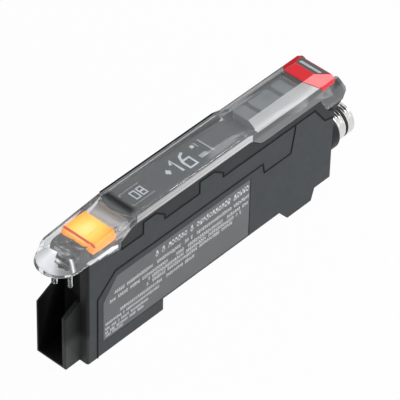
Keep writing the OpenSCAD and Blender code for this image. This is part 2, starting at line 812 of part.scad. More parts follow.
module adjust_rocker() {
    color(plate_grey) in_place() {
        intersection() {
            side_prism([[rocker_y - rocker_len / 2, key_bottom + 0.2],
                        [rocker_y - rocker_flat, key_bottom], [rocker_y + rocker_flat, key_bottom],
                        [rocker_y + rocker_len / 2, key_bottom + 0.2],
                        [rocker_y + rocker_len / 2, key_top], [rocker_y + 0.9, key_top - 0.35],
                        [rocker_y - 0.9, key_top - 0.35], [rocker_y - rocker_len / 2, key_top]],
                       -key_half, key_half);
            rounded_block(0, rocker_y, 2 * key_half, rocker_len, 0.8, key_bottom - cut, key_top + cut);
        }
        rod_x(rocker_y, axle_z, axle_r, -key_half - 0.45, key_half + 0.45);
    }
}

// A small switch on the display board with a round plunger
module key_switch(y) {
    body_top = (board_top + switch_top) / 2 + 0.2;
    block([-1.8, y - 1.4, board_top], [1.8, y + 1.4, body_top]);
    translate([0, y, body_top]) cylinder(r = 0.7, h = switch_top - body_top, $fn = 32);
}

module set_switch() {
    color(metal) in_place() key_switch(set_y);
}

module up_switch() {
    color(metal) in_place() key_switch(rocker_y - switch_reach);
}

module down_switch() {
    color(metal) in_place() key_switch(rocker_y + switch_reach);
}

module mode_switch() {
    color(metal) in_place() key_switch(mode_y);
}

module main_board() {
    color(board_green) in_place()
        side_prism([[board_front, board_foot], [front_foot - wall - 0.4, board_foot],
                    [front_foot - wall - 0.4, board_low], [board_rear, board_low],
                    [board_rear, board_step], [bulkhead_y - 1, board_step],
                    [bulkhead_y - 1, seam_h - 1.2], [board_front, seam_h - 1.2]],
                   board_x, board_x + board_t);
}

module processor_chip() {
    color(darker) in_place()
        block([board_x + board_t, chip_y, chip_z],
              [board_x + board_t + chip_h, chip_y + chip_len, chip_z + chip_len]);
}

module power_coil() {
    color(darker) in_place() {
        rod_x(coil_y, coil_z, coil_r, board_x - base_t - coil_h, board_x - base_t);
        block([board_x - base_t, coil_y - coil_r - 0.3, coil_z - coil_r - 0.3],
              [board_x, coil_y + coil_r + 0.3, coil_z + coil_r + 0.3]);
    }
}

module board_header() {
    color(darker) in_place()
        block([board_x + board_t, header_y, seam_h - header_h],
              [board_x + board_t + header_w, header_y + header_len, seam_h]);
}

module socket_carrier() {
    color(darker) in_place() difference() {
        block([-half + shroud_left + slip, socket_d, shroud_left],
              [shroud_x - shroud_right - slip, socket_end, tunnel_h]);
        for (i = [0:contacts - 1]) contact(i, 0.01);
    }
}

// One contact blade with its tail on the main board, grown by g
module contact(i, g) {
    z = contact_low + i * contact_pitch;
    block([board_x - contact_w - g, socket_d - contact_reach, z - contact_w / 2 - g],
          [board_x + g, socket_end + 3, z + contact_w / 2 + g]);
}

module socket_contacts() {
    color(gold) in_place() for (i = [0:contacts - 1]) contact(i, 0);
}

// Revolves an outline of [radius, y] points about the connector's axis
module turned_y(points) {
    translate([0, 0, plug_z]) rotate([-90, 0, 0]) rotate_extrude() polygon(points);
}

module m8_collar() {
    color(darker) in_place() turned_y([
        [bore_r + slip, body_len - wall - 0.6], [spigot_r, body_len - wall - 0.6], [spigot_r, collar_y],
        [collar_r, collar_y], [collar_r, collar_end - 0.6], [collar_r - 0.5, collar_end],
        [neck_r + slip, collar_end], [neck_r + slip, sleeve_start], [bore_r + slip, sleeve_start]
    ]);
}

module m8_gasket() {
    color(darker) in_place() turned_y([
        [spigot_r + slip, body_len], [collar_r - 0.2, body_len], [collar_r - 0.2, collar_y],
        [spigot_r + slip, collar_y]
    ]);
}

module m8_sleeve() {
    color(metal) in_place() turned_y([
        [bore_r, sleeve_start], [neck_r, sleeve_start], [neck_r, collar_end + slip],
        [thread_r, collar_end + slip], [thread_r, groove_y], [thread_r - groove_d, groove_y],
        [thread_r - groove_d, groove_y + groove_w], [thread_r, groove_y + groove_w],
        [thread_r, sleeve_end - 0.3],
        [thread_r - 0.3, sleeve_end], [bore_r + 0.2, sleeve_end], [bore_r, sleeve_end - 0.2]
    ]);
}

// Rubber ring in the groove, a little below the thread
module m8_seal() {
    low = thread_r - groove_d + 0.01;
    high = thread_r - 0.05;
    color(darker) in_place() turned_y([
        [low, groove_y + 0.02], [low, groove_y + groove_w - 0.02],
        [high - 0.1, groove_y + groove_w - 0.02], [high, groove_y + groove_w - 0.15],
        [high, groove_y + 0.15], [high - 0.1, groove_y + 0.02]
    ]);
}

module m8_insert() {
    color(darker) in_place() difference() {
        rod_y(0, plug_z, bore_r - slip, pin_start + 1.2, insert_end);
        for (a = [45:90:315]) plug_pin(a, 0.02, pin_start);
    }
}

// One pin of the round connector at angle a, grown by g
module plug_pin(a, g, start) {
    rod_y(pin_circle * cos(a), plug_z + pin_circle * sin(a), pin_r + g, start, sleeve_end - pin_inset);
}

module m8_pins() {
    color(gold) in_place() for (a = [45:90:315]) plug_pin(a, 0, pin_start);
}

module rail_claw() {
    tip = notch_end - hook_reach - rail_play / 2;
    color(darker) in_place() {
        side_prism([[tip, claw_low], [claw_back, claw_low], [claw_back, claw_top], [tip + 0.7, claw_top],
                    [tip, claw_top - 0.5]], -claw_half, claw_half);
        block([-claw_half, claw_back - heel_block + 0.05, claw_low], [claw_half, claw_back, claw_block_top]);
    }
}

// A coil of wire along Y as one swept tube
module claw_spring() {
    steps = 16; // rings in each turn
    sides = 8; // corners of the wire's section
    rings = spring_turns * steps;
    mean_r = spring_r - spring_wire;
    pitch = (spring_len - 2 * spring_wire) / rings;
    points = [for (i = [0:rings], j = [0:sides - 1])
        let (a = i * 360 / steps, b = j * 360 / sides, r = mean_r + spring_wire * cos(b))
        [r * cos(a), spring_wire + i * pitch + spring_wire * sin(b), r * sin(a)]];
    walls = [for (i = [0:rings - 1], j = [0:sides - 1])
        let (k = (j + 1) % sides)
        [i * sides + j, i * sides + k, (i + 1) * sides + k, (i + 1) * sides + j]];
    front = [for (j = [sides - 1:-1:0]) j];
    back = [for (j = [0:sides - 1]) rings * sides + j];
    color(metal) in_place()
        translate([0, claw_back, claw_low + spring_r + 0.05])
            polyhedron(points, concat([front], walls, [back]));
}

case();
side_cover();
top_frame();
side_label();
dust_cover();
cover_tag();
tag_inlay();
nose_lens();
indicator_lens();
light_guide();
indicator_led();
display_window();
display_module();
display_board();
set_button();
adjust_rocker();
mode_button();
set_switch();
up_switch();
down_switch();
mode_switch();
main_board();
processor_chip();
power_coil();
board_header();
socket_carrier();
socket_contacts();
m8_collar();
m8_gasket();
m8_sleeve();
m8_insert();
m8_pins();
m8_seal();
rail_claw();
claw_spring();
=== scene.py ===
# %% [markdown]
# # A laser sensor amplifier, dressed for its picture
# The real unit is a slim dark housing that clips on a rail. It has an open sensor socket in front,
# a display and keys under a clear hinged cover, and a round metal connector behind. The packed
# solids already hold every main shape, so this lesson adds what solids don't carry: soft edges,
# clear plastic, glowing amber, print, turned metal, light and a camera.

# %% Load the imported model
import json
import math
import bmesh
import bpy
from mathutils import Matrix, Vector
from mathutils.bvhtree import BVHTree


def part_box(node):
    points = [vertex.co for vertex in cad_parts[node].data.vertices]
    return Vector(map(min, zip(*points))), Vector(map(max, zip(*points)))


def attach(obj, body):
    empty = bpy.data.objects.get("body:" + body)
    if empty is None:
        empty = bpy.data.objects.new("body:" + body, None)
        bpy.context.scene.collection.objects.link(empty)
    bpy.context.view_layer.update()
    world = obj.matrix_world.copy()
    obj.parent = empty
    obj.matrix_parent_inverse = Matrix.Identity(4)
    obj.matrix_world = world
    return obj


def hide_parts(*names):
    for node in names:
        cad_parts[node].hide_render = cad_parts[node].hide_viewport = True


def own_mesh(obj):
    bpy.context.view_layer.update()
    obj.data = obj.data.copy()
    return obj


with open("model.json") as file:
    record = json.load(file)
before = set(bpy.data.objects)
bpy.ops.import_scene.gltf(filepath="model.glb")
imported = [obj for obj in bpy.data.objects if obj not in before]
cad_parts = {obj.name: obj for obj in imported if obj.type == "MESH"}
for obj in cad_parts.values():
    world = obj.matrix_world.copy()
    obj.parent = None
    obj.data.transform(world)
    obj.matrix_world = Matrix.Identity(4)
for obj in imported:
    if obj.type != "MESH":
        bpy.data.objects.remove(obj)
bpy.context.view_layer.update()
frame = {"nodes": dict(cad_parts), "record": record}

MM = 0.001
FAR = 60  # millimetres, past every edge of the unit
LOWEST = (-FAR, -FAR, -FAR)
nodes = frame["nodes"]
scene = bpy.context.scene


# %% [markdown]
# ## Sizes that the lesson reads from the solids
# Every added piece sits on a solid, so its place is read from that solid's box. When the solids
# change, the print, the digits and the light follow them.

# %% Read places in millimetres
def span(node):
    """Lowest and highest corner of a solid, in millimetres."""
    low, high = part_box(node)
    return [v / MM for v in low], [v / MM for v in high]


def linked(name, data):
    """A new object in the scene."""
    made = bpy.data.objects.new(name, data)
    scene.collection.objects.link(made)
    return made


window_low, window_high = span("display_window")
lens_low, lens_high = span("indicator_lens")
label_low, label_high = span("side_label")
side = span("case")[1][0]
inner = side - 0.3  # the side walls reach from here out to the side
print("window top", round(window_high[2], 2), "mm, side of the housing", round(side, 2), "mm")

# %% [markdown]
# ## The camera
# The photograph is taken from the right, high above the socket end, from about 0.7 m. Its long
# lens keeps the unit's long edges nearly parallel. A slight roll and two small moves put the unit
# where the photograph has it.

# %% Place the camera
azimuth, elevation, roll = (math.radians(v) for v in (41.58, 42.25, 1.50))
distance, side_move, up_move = 683.3 * MM, 5.87 * MM, 5.28 * MM
aim = Vector((0, -7.95, 15)) * MM
turn = (Matrix.Rotation(azimuth, 4, "Z") @ Matrix.Rotation(math.pi / 2 - elevation, 4, "X")
        @ Matrix.Rotation(roll, 4, "Z"))
camera_data = bpy.data.cameras.new("photo_camera")
camera_data.sensor_width, camera_data.lens = 36, 300.5
camera_data.clip_start, camera_data.clip_end = 0.05, 20
camera = linked("photo_camera", camera_data)
camera.matrix_world = (Matrix.Translation(aim) @ turn
                       @ Matrix.Translation((side_move, up_move, distance)))
scene.camera = camera
print("camera at", [round(v, 3) for v in camera.matrix_world.translation])


# %% [markdown]
# ## Helpers for node trees
# A material is a small graph, and so is a Geometry Nodes tree. These helpers make a node with its
# settings, numbers and links in one call, and start a material with one Principled shader, so the
# cells below show only what is special about each finish.

# %% Helpers for nodes
def join(tree, source, target):
    """Joins an output socket to an input, or gives the input a plain value."""
    if isinstance(source, bpy.types.NodeSocket):
        tree.links.new(source, target)
    else:
        target.default_value = source


def feed(tree, node, **values):
    """Gives a node its settings and its inputs by name."""
    for name, value in values.items():
        if hasattr(node, name):
            setattr(node, name, value)
        else:
            join(tree, value, node.inputs[name.replace("_", " ")])
    return node


def add(tree, kind, **values):
    """A new node in the tree, fed with the values."""
    return feed(tree, tree.nodes.new(kind), **values)


def out(tree, kind, **values):
    """The first output of a new node."""
    return add(tree, kind, **values).outputs[0]


def calc(tree, operation, *values):
    """The result of a math node whose values are numbers or output sockets."""
    made = add(tree, "ShaderNodeMath", operation=operation)
    for socket, value in zip(made.inputs, values):
        join(tree, value, socket)
    return made.outputs[0]


def new_socket(tree, name, direction, kind):
    return tree.interface.new_socket(name, in_out=direction, socket_type="NodeSocket" + kind)


def new_group(name, inputs, outputs):
    """An empty shader group with named sockets: {name: default} in, {name: type} out."""
    group = bpy.data.node_groups.new(name, "ShaderNodeTree")
    for socket, default in inputs.items():
        kind = "Color" if isinstance(default, tuple) else "Float"
        made = new_socket(group, socket, "INPUT", kind)
        made.default_value = default
    for socket, kind in outputs.items():
        new_socket(group, socket, "OUTPUT", kind)
    return group, add(group, "NodeGroupInput").outputs, add(group, "NodeGroupOutput")


def new_material(name, colour, **values):
    """A material with one Principled shader and plain values on its own sockets."""
    material = bpy.data.materials.new(name)
    material.use_nodes = True
    tree = material.node_tree
    tree.nodes.clear()
    shader = add(tree, "ShaderNodeBsdfPrincipled", Base_Color=(*colour, 1), **values)
    add(tree, "ShaderNodeOutputMaterial", Surface=shader.outputs[0])
    return material, tree, shader


print("node helpers ready")


# %% [markdown]
# ## Helpers for finishes
# Textures lie on Object coordinates, so a pattern stays on its moulding when the moulding moves.
# A bump turns a texture into relief, a ramp turns a factor into colours, and a mix puts one
# shader over another.

# %% Helpers for textures, relief and ramps
def object_place(tree):
    return add(tree, "ShaderNodeTexCoord").outputs["Object"]


def texture(tree, kind, **values):
    """The factor of a texture node on Object coordinates."""
    return add(tree, kind, Vector=object_place(tree), **values).outputs["Fac"]


def bumped(tree, height, strength, depth):
    """The normal of a relief of the given depth in millimetres."""
    return out(tree, "ShaderNodeBump", Height=height, Strength=strength, Distance=depth * MM)


def ramp(tree, factor, stops):
    """The colour of a ramp over the factor, from stops of (position, colour)."""
    made = add(tree, "ShaderNodeValToRGB", Fac=factor)
    elements = made.color_ramp.elements
    while len(elements) < len(stops):
        elements.new(0.5)
    for element, (position, colour) in zip(elements, stops):
        element.position, element.color = position, (*colour, 1)
    return made.outputs["Color"]


def mixed(tree, factor, first, second):
    """A mix of two shaders, joined to the material's output."""
    made = add(tree, "ShaderNodeMixShader", Fac=factor)
    join(tree, first.outputs[0], made.inputs[1])
    join(tree, second.outputs[0], made.inputs[2])
    join(tree, made.outputs[0], tree.nodes["Material Output"].inputs[0])
    return made


print("finish helpers ready")

# %% [markdown]
# ## Moulded grain, one group for many plastics
# Mouldings are never one flat colour. The tool leaves a fine spark-eroded grain, the flow leaves
# cloudy patches a few millimetres wide, and hands leave duller spots. One group makes all three
# from noise, and each plastic sets its own amounts.

# %% Build the grain group
grain, grain_in, grain_out = new_group(
    "moulded_grain",
    {"Colour": (0.5, 0.5, 0.5, 1), "Cloud": 0.1, "Roughness": 0.5, "Rough Spread": 0.1,
     "Grain Size": 6000.0},
    {"Colour": "Color", "Roughness": "Float", "Height": "Float"})
fine = texture(grain, "ShaderNodeTexNoise", Scale=grain_in["Grain Size"], Detail=3.0,
               Roughness=0.6)
cloud = texture(grain, "ShaderNodeTexNoise", Scale=260.0, Detail=2.0)
marks = texture(grain, "ShaderNodeTexNoise", Scale=900.0, Detail=4.0, Distortion=0.6)
shade = out(grain, "ShaderNodeMapRange", Value=cloud, From_Min=0.3, From_Max=0.7,
            To_Min=calc(grain, "SUBTRACT", 1.0, grain_in["Cloud"]),
            To_Max=calc(grain, "ADD", 1.0, grain_in["Cloud"]))
tinted = out(grain, "ShaderNodeVectorMath", operation="SCALE", Vector=grain_in["Colour"],
             Scale=shade)
spot = calc(grain, "SUBTRACT", marks, 0.5)
rough = calc(grain, "MULTIPLY_ADD", spot, grain_in["Rough Spread"], grain_in["Roughness"])
feed(grain, grain_out, Colour=tinted, Roughness=rough, Height=fine)
print("group", grain.name, "has", len(grain.nodes), "nodes")


# %% [markdown]
# ## A mask for one part of a moulding
# Some finishes change inside a region of one solid: the socket's inside is painted black as shade,
# and an amber edge is redder. This group tells whether a point lies in a box. It takes the box's
# middle and half sizes, and puts out 1 inside and 0 outside, with a soft border of the given
# width.

# %% Build the region group
region, region_in, region_out = new_group(
    "region_mask", {f"{part} {axis}": 0.01 for part in ("Middle", "Half") for axis in "XYZ"}
    | {"Border": 0.0001}, {"Mask": "Float"})
region_split = add(region, "ShaderNodeSeparateXYZ", Vector=object_place(region))
outside = []
for axis in "XYZ":
    from_middle = calc(region, "SUBTRACT", region_split.outputs[axis],
                       region_in["Middle " + axis])
    away = calc(region, "ABSOLUTE", from_middle)
    outside.append(calc(region, "SUBTRACT", away, region_in["Half " + axis]))
furthest = calc(region, "MAXIMUM", calc(region, "MAXIMUM", *outside[:2]), outside[2])
fade = out(region, "ShaderNodeMapRange", Value=furthest, From_Min=0.0,
           From_Max=region_in["Border"], To_Min=1.0, To_Max=0.0)
feed(region, region_out, Mask=fade)
print("group", region.name, "has", len(region.nodes), "nodes")


# %% [markdown]
# A region is given by its corners in millimetres. A finish may have several, and each one is laid
# over the colour that was there before.

# %% Colour a region
def region_mask(tree, low, high, border):
    """The mask of a box, from its low and high corners and its border in millimetres."""
    mask = add(tree, "ShaderNodeGroup", node_tree=region, Border=border * MM)
    for axis, a, b in zip("XYZ", low, high):
        mask.inputs["Middle " + axis].default_value = (a + b) / 2 * MM
        mask.inputs["Half " + axis].default_value = (b - a) / 2 * MM
    return mask.outputs["Mask"]


def tint(tree, mask, source, colour, target):
    """Puts a colour over the source wherever the mask is 1."""
    over = add(tree, "ShaderNodeMix", data_type="RGBA")
    for index, value in ((0, mask), (6, source), (7, (*colour, 1))):
        join(tree, value, over.inputs[index])
    join(tree, over.outputs[2], target)
    return over.outputs[2]


def colour_regions(material, *regions, socket="Base Color"):
    """Colours boxes of a material, each given as low corner, high corner, border and colour."""
    tree = material.node_tree
    target = tree.nodes["Principled BSDF"].inputs[socket]
    source = target.links[0].from_socket if target.links else target.default_value
    for low, high, border, colour in regions:
        source = tint(tree, region_mask(tree, low, high, border), source, colour, target)


print("region helpers ready")


# %% [markdown]
# ## The opaque plastics
# The housing and the top frame are dark grey, the collar and the socket carrier almost black.
# Each of them is the same Principled shader fed by the grain group. Bump stays very small, since
# the real grain is a few hundredths of a millimetre deep. The red tag is duller on its far bevel,
# which would mirror the white background otherwise.

# %% Make the moulded plastics
def moulded(name, colour, roughness=0.5, cloud=0.06, spread=0.2, grain_size=5000.0, bump=0.15,
            **values):
    """A plastic whose colour, gloss and relief come from the grain group."""
    material, tree, shader = new_material(name, colour, **values)
    source = add(tree, "ShaderNodeGroup", node_tree=grain, Colour=(*colour, 1), Cloud=cloud,
                 Roughness=roughness, Rough_Spread=spread, Grain_Size=grain_size).outputs
    feed(tree, shader, Base_Color=source["Colour"], Roughness=source["Roughness"],
         Normal=bumped(tree, source["Height"], bump, 0.03))
    return material


dull = {"Specular_IOR_Level": 0.2}
housing_plastic = moulded("housing_plastic", (0.064, 0.071, 0.076), 0.55, **dull)
frame_plastic = moulded("frame_plastic", (0.034, 0.037, 0.041), 0.5, **dull)
black_plastic = moulded("black_plastic", (0.022, 0.023, 0.025), 0.45, **dull)
socket_plastic = moulded("socket_plastic", (0.008, 0.008, 0.009), 0.6, **dull)
key_plastic = moulded("key_plastic", (0.20, 0.21, 0.22), 0.45)
red_plastic = moulded("red_plastic", (0.98, 0.03, 0.045), 0.24, cloud=0.03, spread=0.1, **dull)
label_film = moulded("label_film", (0.178, 0.186, 0.193), 0.45, cloud=0.04, bump=0.05, **dull)
seam_black = moulded("seam_black", (0.012, 0.013, 0.014), 0.8, bump=0.0, **dull)
lamp_plastic = moulded("lamp_plastic", (0.80, 0.74, 0.55), 0.4)
part_black = moulded("part_black", (0.03, 0.03, 0.033), 0.4)
board_green = moulded("board_green", (0.02, 0.15, 0.06), 0.35, cloud=0.15, grain_size=2500.0)
soft_rubber = moulded("soft_rubber", (0.02, 0.02, 0.02), 0.8, grain_size=3500.0, bump=0.3)

tree = red_plastic.node_tree
far_side = region_mask(tree, LOWEST, (-3.0, FAR, FAR), 0.3)
far_bevel = out(tree, "ShaderNodeMapRange", Value=far_side, To_Min=0.24, To_Max=0.95)
feed(tree, tree.nodes["Principled BSDF"], Roughness=far_bevel)
print("made", len(bpy.data.materials), "plastics")

# %% [markdown]
# ## Painted shade in and around the socket
# The socket's walls are part of the housing's solid. Their inside is painted near black as shade,
# almost without shine. The openings in the record tell where the plug goes, so the painted shade
# fills that box with a little more on each side. The housing ahead of its front face is painted
# dark as shade, and the shroud's outer side is painted paler near its foot as light.

# %% Paint shade into the socket and onto the front
holes = {hole["name"]: [[v / MM for v in corner] for corner in hole["box_m"]]
         for hole in frame["record"]["physics"]["openings"]}
socket_low, socket_high = holes["sensor_socket"]
recess_low, recess_high = holes["front_recess"]
front_face = recess_low[1] + 3.1
hollow = ((socket_low, (socket_high[0], recess_high[1], recess_high[2])),
          (recess_low, recess_high))
colour_regions(
    housing_plastic,
    # Painted shade darkens the front, painted light makes the shroud's outer side paler near its
    # foot, and painted shade fills the socket's hollows near black.
    (LOWEST, (FAR, front_face + 0.3, FAR), 0.2, (0.016, 0.017, 0.018)),
    ((socket_high[0] + 0.3, -43.5, -3), (side - 0.2, front_face - 0.3, 6), 2.5,
     (0.075, 0.077, 0.079)),
    *(([v - 0.25 for v in low], [v + 0.25 for v in high], 0.05, (0.004, 0.004, 0.0045))
      for low, high in hollow))
print("black from", [round(v, 1) for v in socket_low], "to", [round(v, 1) for v in recess_high])

# %% [markdown]
# ## Clear plastic
# The hinged cover and the nose are clear and a little smoky, and the cover's side walls are
# frosted. Real refraction gives the bright rims and the soft look inward, so the clear ones
# transmit nearly all light. Glass throws a dark shadow in a path tracer, which a thin cover
# doesn't, so rays that look for a lamp pass through a plain transparent shader instead.


# %% Make the clear plastics
def clear(name, colour, transmission, roughness, shadow, wave_depth=0.06, edge=None,
          edge_foot=30):
    """A clear plastic; it lets the lamps' light through as the shadow colour.

    Left of the edge and over its foot, in millimetres, a black diffuse shader is mixed in as
    painted shade, for the dark rim that a clear edge shows. Plain nodes choose that side, as the
    region group only serves the colours.
    """
    material, tree, shader = new_material(
        name, colour, Transmission_Weight=transmission, IOR=1.3, Roughness=roughness)
    wave = texture(tree, "ShaderNodeTexNoise", Scale=150.0, Detail=1.0)
    feed(tree, shader, Normal=bumped(tree, wave, wave_depth, 0.2))
    through = add(tree, "ShaderNodeBsdfTransparent", Color=(*shadow, 1))
    path = add(tree, "ShaderNodeLightPath")
    whole = mixed(tree, path.outputs["Is Shadow Ray"], shader, through)
    if edge is not None:
        # Painted shade: a black diffuse shader for the clear edge's dark rim.
        rim = add(tree, "ShaderNodeBsdfDiffuse", Color=(0.01, 0.01, 0.011, 1))
        point = add(tree, "ShaderNodeSeparateXYZ", Vector=object_place(tree)).outputs
        past = calc(tree, "MAXIMUM", calc(tree, "SUBTRACT", point["X"], edge * MM),
                    calc(tree, "SUBTRACT", edge_foot * MM, point["Z"]))
        left = out(tree, "ShaderNodeMapRange", Value=past, From_Min=0.0, From_Max=0.08 * MM,
                   To_Min=1.0, To_Max=0.0)
        mixed(tree, left, whole, rim)
    return material


cover_clear = clear("cover_clear", (0.70, 0.725, 0.74), 0.91, 0.04, (0.85, 0.85, 0.85), 0.006,
                    edge=-4.6)
# Painted highlight: this pale, partly diffuse bevel finish stands for the key lamp's reflection.
bevel_painted_sheen = clear("bevel_painted_sheen", (0.80, 0.81, 0.82), 0.35, 0.22, (0.75, 0.75, 0.75),
                    edge=-4.7)
cover_side = clear("cover_side", (0.26, 0.27, 0.28), 0.5, 0.22, (0.6, 0.6, 0.6))
nose_clear = clear("nose_clear", (0.86, 0.875, 0.885), 0.94, 0.03, (0.9, 0.9, 0.9), 0.02)
guide_clear = clear("guide_clear", (0.9, 0.91, 0.92), 0.95, 0.03, (0.9, 0.9, 0.9))
cover_frost = clear("cover_frost", (0.86, 0.87, 0.88), 0.15, 0.3, (0.6, 0.6, 0.6))
print("made", len(bpy.data.materials), "materials so far")

# %% [markdown]
# ## Ribs and painted shade and light on the cover
# The frosted front walls carry fine ribs, 0.8 mm apart. The far walls and the far bevel are
# painted darker than the near ones as shade, and the far front wall is painted near black along
# its top.
# The foot of the cover's front wall is painted dark as shade, for the same reason as its edge. The
# near wall of the raised part is painted paler along its foot as light, and the ears at the hinge
# are painted nearly black as shade.

# %% Shade the cover
rib_pitch = 0.8 * MM
tree = cover_frost.node_tree
ribs = texture(tree, "ShaderNodeTexWave", bands_direction="Z", Scale=2 * math.pi / 20 / rib_pitch)
feed(tree, tree.nodes["Principled BSDF"],
     Base_Color=ramp(tree, ribs, ((0.05, (0.55, 0.56, 0.57)), (0.25, (1.0, 1.0, 1.0)))))
# Painted shade: the far front wall is darker, and near black along its top.
colour_regions(cover_frost,
               (LOWEST, (-inner, FAR, 30.4), 0.3, (0.35, 0.36, 0.37)),
               ((-FAR, -FAR, 31.2), (-inner, FAR, FAR), 0.15, (0.02, 0.02, 0.022)))
# Painted light along the foot of the near hump wall, and painted shade on the ears at the hinge.
colour_regions(cover_side,
               ((inner, 9, 20), (side + 0.3, 32, 28.9), 0.9, (0.40, 0.41, 0.42)),
               ((-FAR, 36.6, 28.4), (FAR, FAR, FAR), 1.2, (0.04, 0.045, 0.045)))
# Painted shade: the far bevel is darker.
colour_regions(bevel_painted_sheen, (LOWEST, (-2, FAR, FAR), 0.1, (0.42, 0.43, 0.44)))
# Painted shade along the foot of the cover's front wall.
colour_regions(cover_clear, ((-3.4, window_low[1] + 0.85, 30), (3.2, window_low[1] + 1.35, FAR),
                             1.0, (0.015, 0.015, 0.017)))
print("ribs every", rib_pitch / MM, "mm")

# %% [markdown]
# ## Glowing amber
# A lamp stands under the amber lens, so the middle is nearly white and the sides are deep orange.
# A colour ramp over the distance from the lens's middle gives that fall-off, on Object
# coordinates, and drives the colour of the emission. The lens is redder below the frame's deck,
# and further down it is painted dark as shade, in glow and colour. It is red along its front top
# edge, and darker along a mould line.

# %% Make the amber lens
amber_glow, tree, shader = new_material("amber_glow", (0.85, 0.28, 0.0), Roughness=0.2,
                                        Emission_Strength=0.85, Specular_IOR_Level=0.3)
glow_reach = (5.2, 6.5, 5.0)
lens_middle = [(a + b) / 2 for a, b in zip(lens_low, lens_high)]
centred = out(tree, "ShaderNodeMapping", Vector=object_place(tree),
              Location=[-m / reach for m, reach in zip(lens_middle, glow_reach)],
              Scale=[1 / (reach * MM) for reach in glow_reach])
away = add(tree, "ShaderNodeVectorMath", operation="LENGTH", Vector=centred)
stops = ((0.28, (1.0, 0.88, 0.32)), (0.52, (1.0, 0.64, 0.07)), (0.76, (1.0, 0.43, 0.01)),
         (1.0, (0.9, 0.2, 0.0)))
feed(tree, shader, Emission_Color=ramp(tree, away.outputs["Value"], stops))
deck = lens_high[2] - 1.75
# Painted shade: the lens's foot under the frame is dark in glow and colour.
foot = (LOWEST, (FAR, FAR, deck - 0.15), 0.15)
front_line = ((-FAR, lens_low[1] + 0.94, lens_high[2] - 0.7),
              (FAR, lens_low[1] + 1.38, FAR), 0.08)
mould_line = ((1.40, lens_low[1] + 2.2, lens_high[2] - 1), (1.46, lens_high[1] - 1.5, FAR), 0.1)
colour_regions(
    amber_glow, (LOWEST, (FAR, FAR, deck), 0.9, (0.80, 0.22, 0.02)),
    (*foot, (0.02, 0.014, 0.01)), (*front_line, (0.62, 0.02, 0.0)),
    (*mould_line, (0.75, 0.36, 0.06)), socket="Emission Color")
colour_regions(amber_glow, (*foot, (0.05, 0.045, 0.04)), (*front_line, (0.5, 0.03, 0.0)))
print("amber ramp has", len(stops), "stops, and the lens has", len(tree.nodes), "nodes")

# %% [markdown]
# ## Metals, the smoked window, light digits and ink
# Metal needs little: full Metallic, a low roughness and a slight turning mark. The smoked window
# is nearly black with a satin face. Digits are thin lit shapes, and print is a pale ink.


# %% Make metals, glass and inks
def turned_metal(name, colour, roughness):
    """Metal with the fine rings that a lathe leaves round the connector's axis."""
    material, tree, shader = new_material(name, colour, Metallic=1.0, Roughness=roughness)
    rings = texture(tree, "ShaderNodeTexWave", bands_direction="Y", Scale=1800.0, Distortion=1.5)
    gloss = out(tree, "ShaderNodeMapRange", Value=rings, To_Min=roughness * 0.7,
                To_Max=roughness * 1.4)
    feed(tree, shader, Roughness=gloss, Normal=bumped(tree, rings, 0.12, 0.02))
    return material


nickel = turned_metal("nickel", (0.72, 0.72, 0.71), 0.2)
gold = turned_metal("gold", (0.83, 0.6, 0.24), 0.25)
steel = turned_metal("steel", (0.55, 0.56, 0.57), 0.3)
smoked = moulded("smoked_window", (0.022, 0.025, 0.027), 0.38, spread=0.05, bump=0.0, **dull)
panel_film = moulded("panel_film", (0.05, 0.054, 0.057), 0.4, bump=0.05, **dull)
print_ink = moulded("print_ink", (0.88, 0.90, 0.92), 0.5, bump=0.05)
key_ink = moulded("key_ink", (0.42, 0.43, 0.44), 0.5, bump=0.05)
inlay_ink = moulded("inlay_ink", (0.66, 0.70, 0.73), 0.5, bump=0.05)
digit_light = moulded("digit_light", (0.55, 0.58, 0.6), 0.4, bump=0.0,
                      Emission_Color=(0.60, 0.64, 0.68, 1), Emission_Strength=0.42)
print("made", len(bpy.data.materials), "materials so far")

# %% [markdown]
# ## Painted sheen inside the nose
# The nose's inner skin is painted with a reflection, white and turning grey towards its right
# corner, with a painted highlight near that corner, and it glows a little though it is no lamp.
# Its skin, which is cast further down, has a UV map that runs round the nose, and a ramp over it
# gives the tones.

# %% Make the nose's painted sheen
# Painted light: a reflection from white to grey, a painted highlight near the right corner, and a
# weak glow.
nose_painted_sheen, tree, shader = new_material("nose_painted_sheen", (0.8, 0.8, 0.8), Roughness=0.5,
                                          Emission_Strength=0.25)
skin_map = out(tree, "ShaderNodeUVMap", uv_map="round_nose")
along_nose = out(tree, "ShaderNodeSeparateXYZ", Vector=skin_map)
sheen_greys = ((0.0, 0.55), (0.25, 0.94), (0.55, 0.8), (0.72, 0.3), (0.92, 0.16), (0.95, 1.0),
         (0.985, 0.15))
stops = [(position, (grey, grey, grey * 1.02)) for position, grey in sheen_greys]
round_nose = ramp(tree, along_nose, stops)
feed(tree, shader, Base_Color=round_nose, Emission_Color=round_nose)
print("nose ramp has", len(sheen_greys), "stops")

# %% [markdown]
# ## Painted glints on the frame under the nose
# Under the clear nose the frame shows dark and pale flecks, where the nose's facets bend the view.
# A stretched noise on the frame's own material paints them, kept to the nose's region. The strip
# between the lens and the display is painted paler as sheen, and the deck in front of the lens a
# little paler as painted reflection.

# %% Paint glints and sheen on the frame under the nose
below_deck = deck - 0.95
strip_start, strip_end = lens_high[1] - 0.3, window_low[1] - 1.1
